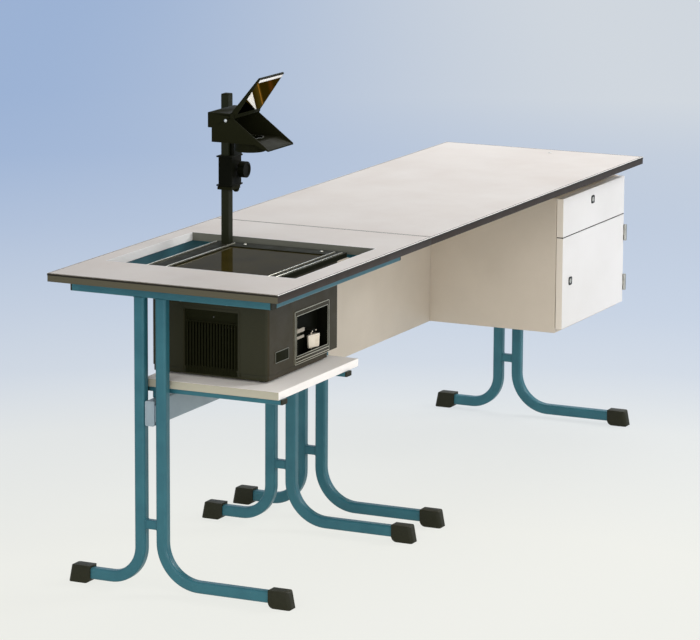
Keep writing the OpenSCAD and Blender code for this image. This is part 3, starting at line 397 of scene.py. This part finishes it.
CARRIAGE = moulded("carriage", (7, 8, 1), (15, 16, 6), (0.45, 0.6), dust=0.05, gloss=0.05)
dress(CARRIAGE, "focus_carriage", "focus_knob")
# painted shade: the shelf's sides but top and front are darker for the shade on them
dress(board("shelf_top", (250, 247, 244), (244, 241, 238), (0.36, 0.46),
            edge=((172, 169, 152), FRONT)), "shelf_board")
# painted shade: the cut-out's walls that face neither up nor to the front are dark for the shade
# inside it
dress(board("cut_strip", (240, 241, 242), (234, 235, 236), (0.3, 0.42),
            edge=((104, 106, 98), FRONT)), "cutout_edge")
dress(moulded("column", (27, 30, 14), (38, 41, 23), (0.5, 0.62), dust=0.1, gloss=0.12), "column")
dress(moulded("panel_inside", (10, 11, 5), (17, 18, 10), (0.6, 0.7), dust=0.02, gloss=0.05),
      "control_panel")
dress(metal("guide_rail", (246, 240, 220), (206, 200, 182), (0.2, 0.34)), "film_guides")
dress(metal("plug", (236, 230, 212), (196, 190, 174), (0.25, 0.4), (1, 1, 1), 400.0, 0.05, 0.3),
      "drawer_lock_plug", "door_lock_plug")


# ------------------------------------------------- softened edges of the CAD

WELD_GAP = 0.00001                # in metres
ROUND_ANGLE = math.radians(40)    # sharper edges of the CAD nodes are rounded
SHARP_ANGLE = math.radians(35)    # sharper edges of the new pieces aren't smoothed over


def soften(width, segments, *names):
    """Rounds the sharp edges of CAD nodes for the light, width in mm."""
    for name in names:
        weld = nodes[name].modifiers.new("weld", "WELD")
        weld.merge_threshold = WELD_GAP
        bevel = nodes[name].modifiers.new("round", "BEVEL")
        bevel.width = width / 1000
        bevel.segments = segments
        bevel.limit_method = "ANGLE"
        bevel.angle_limit = ROUND_ANGLE
        bevel.harden_normals = True
        for face in nodes[name].data.polygons:
            face.use_smooth = True


# --------------------------------------------------------------- new pieces

class Shape:
    """One piece's mesh, in mm from the near end, the front edge and the floor."""

    def __init__(self):
        self.bm = bmesh.new()

    def rounded(self, verts, edge, segments=2):
        """Rounds all the edges that meet at some corners."""
        rims = dict.fromkeys(e for v in verts for e in v.link_edges)
        bmesh.ops.bevel(self.bm, geom=list(rims), offset=edge, segments=segments,
                        affect="EDGES", profile=0.5)
        return self

    def block(self, x0, x1, y0, y1, z0, z1, edge=0.3, segments=2):
        """A box with rounded edges."""
        made = bmesh.ops.create_cube(self.bm, size=1.0)["verts"]
        for v in made:
            v.co = Vector(((x0 + x1) / 2 + v.co.x * (x1 - x0),
                           (y0 + y1) / 2 + v.co.y * (y1 - y0),
                           (z0 + z1) / 2 + v.co.z * (z1 - z0)))
        return self.rounded(made, edge, segments)

    def prism(self, outline, low, high, edge):
        """An outline in X and Y drawn up from one height to another, with rounded edges."""
        ends = [[self.bm.verts.new((x, y, z)) for x, y in outline] for z in (low, high)]
        self.bm.faces.new(ends[0][::-1])
        self.bm.faces.new(ends[1])
        for k, (a, b) in enumerate(zip(*ends)):
            n = (k + 1) % len(outline)
            self.bm.faces.new((a, ends[0][n], ends[1][n], b))
        return self.rounded(ends[0] + ends[1], edge)

    def turned(self, centre, axis, profile, steps=32):
        """A turned form: profile holds (radius, distance along the axis from centre) pairs."""
        turn = Vector(UP).rotation_difference(Vector(axis)).to_matrix()
        rings = []
        for radius, along in profile:
            angles = [2 * math.pi * k / steps for k in range(steps if radius else 1)]
            rings.append([self.bm.verts.new(Vector(centre) + turn @ Vector(
                (radius * math.cos(a), radius * math.sin(a), along))) for a in angles])
        for a, b in zip(rings, rings[1:]):
            for k in range(steps):
                corners = [a[k % len(a)], a[(k + 1) % len(a)], b[(k + 1) % len(b)], b[k % len(b)]]
                corners = list(dict.fromkeys(corners))
                if len(corners) > 2:
                    self.bm.faces.new(corners)
        return self

    def loop(self, outer, inner, axis, low, high):
        """A flat frame across an axis, between two closed outlines of as many corners."""
        def corner(p, level):
            spot = list(p)
            spot.insert(axis, level)
            return self.bm.verts.new(spot)
        rings = [[corner(p, level) for p in line] for line, level in
                 ((outer, low), (outer, high), (inner, high), (inner, low))]
        for a, b in zip(rings, rings[1:] + rings[:1]):
            for k in range(len(outer)):
                n = (k + 1) % len(outer)
                self.bm.faces.new((a[k], a[n], b[n], b[k]))
        return self

    def screw(self, centre, axis, radius=4.0, rise=1.8):
        """A pan head with a round socket."""
        return self.turned(centre, axis, [
            (radius, -0.4), (radius, rise * 0.35), (radius * 0.86, rise * 0.8),
            (radius * 0.6, rise), (radius * 0.46, rise), (radius * 0.42, rise * 0.1),
            (0, rise * 0.05)], 24)

    def turn(self, matrix):
        bmesh.ops.transform(self.bm, verts=self.bm.verts, matrix=matrix)
        return self

    def piece(self, name, body, slot, material=None):
        """Makes the piece, on its body, in the slot's own material or in another."""
        self.turn(Matrix.Translation(place(0, 0, 0)) @ Matrix.Scale(0.001, 4))
        bmesh.ops.recalc_face_normals(self.bm, faces=self.bm.faces)
        mesh = bpy.data.meshes.new(name)
        self.bm.to_mesh(mesh)
        self.bm.free()
        for face in mesh.polygons:
            face.use_smooth = True
        mesh.set_sharp_from_angle(angle=SHARP_ANGLE)
        mesh.materials.append(material or LOOKS[slot])
        made = bpy.data.objects.new(name, mesh)
        bpy.context.scene.collection.objects.link(made)
        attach(made, body)
        return made


def rectangle(a0, a1, b0, b1, radius=0.0, steps=5):
    """The outline of a rectangle with rounded corners."""
    if not radius:
        return [(a0, b0), (a1, b0), (a1, b1), (a0, b1)]
    points = []
    for ca, cb, start in ((a1 - radius, b0 + radius, -90), (a1 - radius, b1 - radius, 0),
                          (a0 + radius, b1 - radius, 90), (a0 + radius, b0 + radius, 180)):
        for k in range(steps + 1):
            angle = math.radians(start + 90 * k / steps)
            points.append((ca + radius * math.cos(angle), cb + radius * math.sin(angle)))
    return points


def frame_outline(a0, a1, b0, b1, width, radius):
    """The outer and inner outlines of a rounded frame."""
    return (rectangle(a0, a1, b0, b1, radius),
            rectangle(a0 + width, a1 - width, b0 + width, b1 - width, max(radius - width, 0.3)))


def border(x0, x1, out):
    """The outline of a top, moved outwards."""
    return rectangle(x0 - out, x1 + out, -out, DEPTH + out)


# The laminate's lip, white on the top and front as a painted highlight and dark on its other sides
# as painted shade, over a dark line, and the joint between band and laminate
lines = Shape()
lip_highlight = Shape()
for x0, x1 in (TABLE_X, DESK_X):
    lines.loop(border(x0, x1, 0.2), border(x0, x1, -0.3), Z, TOP - 5.2, TOP - 1.5)
    lip_highlight.loop(border(x0, x1, 0.3), border(x0, x1, -0.6), Z, TOP - 1.4, TOP + 0.1)
    lines.loop(border(x0, x1, -2.6), border(x0, x1, -3.1), Z, TOP - 0.3, TOP + 0.1)
lines.piece("edge_band_lines", "table", "edge_strip",
            moulded("band_line", (24, 20, 12), (36, 31, 20), (0.4, 0.5), dust=0.02))
# painted highlight and shade: the lip is white where it faces up and to the front, dark elsewhere
lip_highlight.piece("laminate_lip_highlight", "table", "laminate",
           board("lip", (250, 248, 244), (244, 242, 238), (0.3, 0.4), edge=((92, 86, 72), FRONT)))

# Projector: bare plate, frame of the control panel, seam of the body, and the grille
Shape().block(221, 289, FACE_Y - 0.9, FACE_Y + 0.4, 550, 575, 0.4).piece(
    "bare_plate", "table", "black_plastic")
rim = Shape()
rim.loop(*frame_outline(220, 290, 549, 576, 1.4, 2.5), Y, FACE_Y - 1.5, FACE_Y - 0.2)
rim.piece("bare_plate_rim", "table", "reflector_metal",
          metal("rim", (150, 148, 134), (104, 102, 88), (0.3, 0.45)))
bezel = Shape()
bezel.loop(rectangle(322.5, 505.5, 526, 652.5, 3), rectangle(330, 498, 545.5, 641.5, 2),
           Y, FACE_Y - 1.6, FACE_Y + 0.3)
bezel.block(324, 504, FACE_Y - 2.6, FACE_Y - 1.4, 527.5, 544, 0.6)
bezel.piece("panel_bezel", "table", "projector_shell")
trim = Shape()
trim.loop(*frame_outline(322, 506, 525.5, 653, 1.0, 3.4), Y, FACE_Y - 2.0, FACE_Y + 0.2)
trim.loop(*frame_outline(329.2, 498.8, 544.7, 642.3, 0.9, 2.5), Y, FACE_Y - 2.2, FACE_Y - 1.4)
for z in (531.5, 539.5):
    trim.block(325, 503, FACE_Y - 3.1, FACE_Y - 2.4, z - 0.7, z + 0.7, 0.15, 1)
trim.piece("panel_trim", "table", "reflector_metal",
           metal("trim", (226, 222, 200), (150, 146, 124), (0.3, 0.45)))
seam = Shape().block(316.5, 317.3, FACE_Y - 0.25, FACE_Y + 0.3, 533, 737, 0.1, 1)
seam.piece("body_seam", "table", "projector_shell",
           moulded("seam", (84, 80, 64), (98, 94, 78), dust=0.02))
grille = Shape()
grille.loop(*frame_outline(190.5, 342.5, 513, 674, 2.6, 6), X, FACE_X - 1.1, FACE_X + 0.3)
grille.piece("grille_rim", "table", "projector_shell")
FINS = 17
fins = Shape()
for k in range(FINS):
    y = 200 + (k + 0.25) * 133 / FINS
    fins.block(FACE_X - 1.4, FACE_X + 1.8, y, y + 3.9, 517, 638, 0.5)
fins.block(FACE_X - 0.2, FACE_X + 2.2, 199, 334, 516, 531, 0.2)
fins.piece("grille_fins", "table", "black_plastic")
fixings = Shape()
for inside, y, z in ((5.2, 262, 653), (4.0, 204, 640), (4.0, 330, 640)):
    fixings.turned((FACE_X + inside, y, z), NEAR, [
        (1.6, -1), (1.6, 0.5), (1.1, 1.0), (0.6, 1.0), (0.5, 0.4), (0, 0.4)], 20)
fixings.piece("grille_screws", "table", "motor_metal")

# Control panel: two pilot lenses, a screw under them, and the lever's two tabs and stem
pilots = Shape()
for x in (433, 453):
    pilots.turned((x, PANEL_Y, 587), FRONT, [
        (1.9, -0.4), (1.9, 0.6), (1.6, 0.8), (1.4, 1.3), (0.8, 1.7), (0, 1.8)], 24)
pilots.piece("pilot_lenses", "table", "cream_plastic")
Shape().screw((430, PANEL_Y, 540.2), FRONT, 2.6, 1.2).piece("bracket_screw", "table", "steel")
tabs = Shape()
tabs.block(334, 374, 115.5, 119.5, 599.5, 609, 1.6, 3)
tabs.block(335, 373, 116.2, 119.5, 584.5, 591.5, 1.6, 3)
tabs.piece("lever_tabs", "lamp_carrier", "cream_plastic",
           moulded("lever_grey", (150, 142, 128), (168, 160, 146), (0.4, 0.5), 900.0, 0.05, 0.1,
                   gloss=0.4))
Shape().block(343, 359, 119, 126, 586, 604, 0.3, 1).piece(
    "lever_stem", "lamp_carrier", "black_plastic")

# Rocker of the mains switch, which narrows downwards, on its pin
ROCKER_LOW, ROCKER_HIGH, ROCKER_TAPER, PIN_R = 547, 578, 0.16, 1.9
rocker_low, rocker_high = bench("rocker_switch")
rocker_x, half = (rocker_low.x + rocker_high.x) / 2, (rocker_high.x - rocker_low.x) / 2
pin_y, pin_len = rocker_high.y - 5, rocker_high.z - rocker_low.z
rocker = Shape().prism([(rocker_x + a, pin_y + b) for a, b in (
    (-half, -4), (0, -7), (half, -12), (half - 3, 2), (0, 5), (3 - half, 2))],
    ROCKER_LOW, ROCKER_HIGH, 0.9)
for k in range(5):
    along = 0.25 + 0.15 * k
    x, y = rocker_x + half * along, pin_y - 7 - 5 * along
    rocker.block(x, x + 1.2, y - 0.5, y + 1, ROCKER_LOW + 3, ROCKER_HIGH - 3, 0.3, 1)
for v in rocker.bm.verts:
    down = (ROCKER_HIGH - v.co.z) / (ROCKER_HIGH - ROCKER_LOW)
    v.co.x = rocker_x + (v.co.x - rocker_x) * (1 - ROCKER_TAPER * down)
rocker.turned((rocker_x, pin_y, rocker_low.z), UP,
              [(0, 0), (PIN_R, 0), (PIN_R, pin_len), (0, pin_len)], 20)
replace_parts(rocker.piece("rocker_shell", "switch", "cream_plastic"), "rocker_switch")

# Projector's rear: pins of the inlet, fuse holder and louvres
pins = Shape()
for x, z in ((237.5, 554.5), (250.5, 554.5), (244, 558.5)):
    pins.block(x - 0.9, x + 0.9, REAR_Y - 14.5, REAR_Y - 0.5, z - 2, z + 2, 0.3)
pins.piece("inlet_pins", "table", "lock_metal")
fuse = Shape()
fuse.turned((286, REAR_Y, 556), REAR, [
    (8.5, -0.3), (8.5, 1.2), (7.9, 1.6), (6.2, 1.6), (6.0, 6.0), (5.4, 6.6), (2.0, 6.6), (0, 6.3)])
fuse.block(281, 291, REAR_Y + 6.2, REAR_Y + 7.0, 555.4, 556.6, 0.1, 1)
fuse.piece("fuse_holder", "table", "black_plastic")
louvres = Shape()
louvres.loop(*frame_outline(318, 504, 556, 650, 3, 4), Y, REAR_Y - 0.2, REAR_Y + 1.4)
for k in range(11):
    z = 562 + 8 * k
    louvres.block(322, 500, REAR_Y - 0.4, REAR_Y + 2.2, z - 2.0, z + 2.0, 1.2, 3)
louvres.piece("rear_louvres", "table", "projector_shell")

# Column cap, carriage bush and collar
Shape().block(585.2, 608.8, 428.6, 447.4, 1115.2, 1118.4, 1.0, 3).piece(
    "column_cap", "table", "black_plastic")
bush = Shape().turned((626, 428, 886), DOWN, [
    (8, -4), (8, 8), (6.6, 11), (3.8, 13.2), (0, 13.8)])
bush.piece("carriage_bush", "projector_head", "black_plastic")
collar = Shape().loop(rectangle(579, 627, 417, 455), rectangle(584.1, 609.9, 427.1, 448.9),
                      Z, 883, 890.4)
collar.piece("carriage_collar", "projector_head", "black_plastic")

# Head: screws of the housing, caps of the hinge, and rings of the lens
sockets = Shape()
caps = Shape()
for side in (-1, 1):
    sockets.screw((PIVOT[0] + side * 68.4, 300, 1096), (side, 0, 0), 3.4, 1.6)
    caps.turned((PIVOT[0] + side * 67, *PIVOT[1:]), (side, 0, 0), [
        (5, 0), (5, 2.2), (4.2, 3), (0, 3.2)], 28)
    slot_x = PIVOT[0] + side * 68.8
    caps.block(slot_x - 0.4, slot_x + 0.4, 296, 306, 1111, 1112.6, 0.2)
sockets.piece("head_screw_heads", "projector_head", "steel",
              metal("bright_screw", (232, 231, 226), (200, 198, 190), (0.3, 0.4)))
caps.piece("pivot_caps", "projector_head", "black_plastic")
ring = Shape()
ring.turned((*LENS, 1019), DOWN, [
    (36.5, -3), (37.2, 0), (36.4, 1.2), (30, 1.2), (29, 0), (28.6, -4)], 64)
ring.turned((*LENS, 1043), UP, [
    (33.5, 2.9), (33.5, 7.4), (32.6, 8.0), (29.4, 8.0), (28.8, 7.2), (28.8, 3.0)], 64)
ring.piece("lens_rings", "projector_head", "black_plastic")
bright = Shape().turned((*LENS, 1051), UP, [
    (32.2, -0.3), (32.2, 0.3), (30.2, 0.3), (30.2, -0.3)], 64)
bright.piece("lens_ring_line", "projector_head", "steel")

# Bevelled edge of the mirror's glass at the flap's tip, drawn in the flap's own frame, in opaque
# white: a painted highlight of the bevel's glint
FLAP_SLOPE = math.radians(-55)
FLAP = Matrix.Translation(PIVOT) @ Matrix.Rotation(FLAP_SLOPE, 4, "X")
bevel = Shape().block(-59, 59, -113.4, -105.6, -6.5, -4.9, 0.4).turn(FLAP)
bevel.piece("mirror_bevel", "mirror", "mirror",
            # painted highlight: the bevel's glass is opaque white
            clear("bevel", (253, 252, 250), (244, 244, 242), 0.1, transmission=0.0).material)

# Stud in the desk's top
stud = Shape().turned((2218, 257, TOP), UP, [
    (5.2, -0.5), (5.2, 0.7), (4.6, 1.2), (3.8, 1.2), (3.4, 2.0), (1.8, 2.7), (0, 2.9)])
stud.piece("desk_stud", "table", "steel")

# Cabinet: a dark strip under the drawer's front, painted shade in the gap over the door, and a dark
# ring round each lock, painted shade of the recess round it
door, drawer = bench("door_panel"), bench("drawer_front")
# painted shade: a dark strip fills the gap under the drawer's front
strip = Shape().block(drawer[0].x, drawer[1].x, drawer[0].y + 0.3, drawer[1].y - 0.3,
                      door[1].z + 0.5, drawer[0].z - 0.02, 0.1, 1)
strip.piece("drawer_gap_shade", "drawer", "black_cap", CARRIAGE)
LOCK_SHADE_R = 11
for name, body in (("drawer_lock_case", "drawer"), ("door_lock_case", "door")):
    case = bench(name)
    mid = (case[0] + case[1]) / 2
    # painted shade: a dark ring round the lock for its recess
    lock_shade = Shape()
    lock_shade.loop(*frame_outline(mid.x - LOCK_SHADE_R, mid.x + LOCK_SHADE_R, mid.z - LOCK_SHADE_R, mid.z + LOCK_SHADE_R,
                             2.0, 5), Y, door[0].y - 1.4, door[0].y - 0.05)
    lock_shade.piece(name.replace("case", "rim"), body, "lock_metal", CARRIAGE)

# Screws: hinge leaves, plates under the tops, rails and the panel's back
small = Shape()
for z in (388, 416, 529, 557):
    for y in (80, 92):
        small.screw((2267.6, y, z), FAR, 2.6, 0.9)
small.piece("hinge_screws", "table", "steel")
under = Shape()
for y in (155, 345, 485):
    for x in (815, 832, 858, 875):
        under.screw((x, y, TOP - 23), DOWN, 3.6, 1.6)
for x in FRAME_X:
    for y in (180, 300, 470):
        under.screw((x, y, TOP - 55), DOWN, 4.2, 2.0)
for x in (135, 479):
    for y in (90, 230, 330):
        under.screw((x, y, 476), DOWN, 4.2, 2.0)
for x in FRAME_X[2:]:
    for z in (393, 658):
        under.turned((x, 456, z), REAR, [(7.5, -0.3), (7.5, 0.8), (6.6, 1.5), (0, 1.9)])
under.piece("fixing_screws", "table", "steel")

# Weld beads where the tubes meet the crossbars and the rails
beads = bpy.data.curves.new("weld_beads", "CURVE")
beads.dimensions = "3D"
beads.bevel_depth = 0.0013
beads.bevel_resolution = 2


def bead(points):
    """A bead of weld round a closed line of points, in mm."""
    line = beads.splines.new("POLY")
    line.points.add(len(points) - 1)
    for spot, p in zip(line.points, points):
        spot.co = (*place(*p), 1.0)
    line.use_cyclic_u = True


for x in FRAME_X:
    for y in (363.2, 391.8):
        bead([(x + a, y, 161 + b) for a, b in rectangle(-9, 9, -11, 11, 3, 4)])
    for y in (349, 406):
        bead([(x + a, y + b, 704.6) for a, b in rectangle(-12.5, 12.5, -14, 14, 6, 4)])
weld = bpy.data.objects.new("weld_beads", beads)
bpy.context.scene.collection.objects.link(weld)
beads.materials.append(LOOKS["frame_paint"])
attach(weld, "table")

soften(1.0, 3, "projector_top_edge", "desk_top_edge")
soften(0.5, 2, "cabinet_sides", "cabinet_boards", "cabinet_back", "modesty_panel", "drawer_box",
       "drawer_bottom")
soften(0.9, 3, "shelf_board")
soften(3.5, 3, "foot_caps")
soften(0.6, 2, "side_grille", "film_guides", "stage_frame", "mirror_flap", "focus_carriage",
       "lens_housing", "projector_base")

# ------------------------------------------------------ floor, light, camera

CREAM = linear(240, 241, 236)
BLUE = linear(161, 184, 219)
PALE = linear(196, 208, 226)
# Share of blue in the floor, by the distance beyond FLOOR_NEAR, in metres
FADE = ((0.0, 0.0), (0.5, 0.07), (1.2, 0.17), (2.0, 0.46), (3.0, 0.62), (4.5, 0.81), (6.2, 0.96),
        (8.0, 1.0))
FADE_END = FADE[-1][0]
FLOOR_NEAR = 1.2
FLOOR_MIDDLE = (-1.35, -0.66, 0.0)       # where the distance is 0
RIGHTWARDS = (0.4387, -0.8987, 0.0)      # the picture's right, along the floor
LESS_BLUE = 0.62                         # how much of the blue is lost far off on the right
GLOW = 0.86                              # how much of the floor glows in its own colour


def floor_material():
    """Cream round the table and blue far behind it, paler to the right of its far end."""
    material = bpy.data.materials.new("floor")
    tree = Tree(material)
    spot = tree.new("ShaderNodeTexCoord").outputs["Object"]
    far = tree.vector("LENGTH", tree.vector("SUBTRACT", spot, FLOOR_MIDDLE)[0])["Value"]
    fade = tree.colours(tree.ramp(far, FLOOR_NEAR, FLOOR_NEAR + FADE_END),
                        [(metres / FADE_END, (share, share, share, 1.0)) for metres, share in FADE])
    across = tree.vector("DOT_PRODUCT", spot, RIGHTWARDS)["Value"]
    right = tree.new("ShaderNodeMapRange", ("Value", across), ("From Min", -1.7),
                     ("From Max", 1.5), interpolation_type="SMOOTHSTEP").outputs[0]
    less = tree.math("MULTIPLY", right, tree.ramp(far, 4.0, 9.0, 0.0, LESS_BLUE))
    blue = tree.math("MULTIPLY", tree.math("SUBTRACT", 1.0, less), fade)
    colour = tree.mix(blue, CREAM, BLUE)
    lit = tree.new("ShaderNodeBsdfDiffuse", (0, colour)).outputs[0]
    glow = tree.new("ShaderNodeEmission", (0, colour)).outputs[0]
    both = tree.new("ShaderNodeMixShader", (0, tree.math("MULTIPLY", tree.shown(), GLOW)),
                    (1, lit), (2, glow))
    tree.new("ShaderNodeOutputMaterial", (0, both.outputs[0]))
    return material


floor_mesh = bpy.data.meshes.new("floor")
floor_bm = bmesh.new()
bmesh.ops.create_circle(floor_bm, cap_ends=True, radius=60.0, segments=64)
floor_bm.to_mesh(floor_mesh)
floor_bm.free()
floor_mesh.materials.append(floor_material())
floor = bpy.data.objects.new("floor", floor_mesh)
floor.location = (0, 0, -0.0005)
bpy.context.scene.collection.objects.link(floor)

# Soft light all round, stronger from the near end, and a pale blue where the background shows
world = bpy.data.worlds.new("studio")
bpy.context.scene.world = world
studio = Tree(world)
ways = studio.new("ShaderNodeTexCoord").outputs["Generated"]
near = studio.vector("DOT_PRODUCT", ways, (-0.98, 0.1, 0.0))["Value"]
fill = studio.new("ShaderNodeBackground", ("Color", (1.0, 0.965, 0.93, 1.0)),
                  ("Strength", studio.ramp(near, -0.1, 1.0, 0.30, 1.2))).outputs[0]
back = studio.new("ShaderNodeBackground", ("Color", PALE), ("Strength", 1.0)).outputs[0]
both = studio.new("ShaderNodeMixShader", (0, studio.shown()), (1, fill), (2, back))
studio.new("ShaderNodeOutputWorld", (0, both.outputs[0]))

WARM = (1.0, 0.985, 0.965)


def lamp(name, spot, aim, size, power, colour=WARM):
    """A square lamp at a spot, turned to another, in metres."""
    light = bpy.data.lights.new(name, "AREA")
    light.shape = "SQUARE"
    light.size = size
    light.energy = power
    light.color = colour
    made = bpy.data.objects.new(name, light)
    made.location = spot
    made.rotation_mode = "QUATERNION"
    made.rotation_quaternion = (Vector(aim) - Vector(spot)).to_track_quat("-Z", "Y")
    bpy.context.scene.collection.objects.link(made)


lamp("key", (3.2, -3.9, 3.4), (0.3, 0.0, 0.6), 2.2, 165)
lamp("sky", (2.4, 0.3, 3.2), (1.1, 0.0, 0.76), 2.0, 48, (1.0, 0.99, 0.985))
lamp("side", (-6.0, -0.6, 1.5), (0.2, -0.1, 0.5), 3.0, 58)
lamp("front", (-3.5, -4.5, 1.2), (-0.7, -0.3, 0.5), 1.6, 60)

bpy.context.scene.view_settings.view_transform = "Standard"

# The camera that was fitted to the photograph
EYE = (-8.616754, -4.045132, 2.388926)
YAW, PITCH, ROLL = (math.radians(a) for a in (26.023, 10.859, 0.191))
ahead = Vector((math.cos(YAW) * math.cos(PITCH), math.sin(YAW) * math.cos(PITCH),
                -math.sin(PITCH)))
right = Vector((math.sin(YAW), -math.cos(YAW), 0))
up = right.cross(ahead)
right, up = (right * math.cos(ROLL) + up * math.sin(ROLL),
             up * math.cos(ROLL) - right * math.sin(ROLL))
eye = bpy.data.cameras.new("camera")
eye.sensor_width = 36.0
eye.lens = 194.08
eye.shift_x = 0.05
eye.shift_y = -0.05
eye.clip_end = 200.0
camera = bpy.data.objects.new("camera", eye)
turn = Matrix((right, up, -ahead)).transposed().to_4x4()
camera.matrix_world = Matrix.Translation(EYE) @ turn
bpy.context.scene.collection.objects.link(camera)
bpy.context.scene.camera = camera
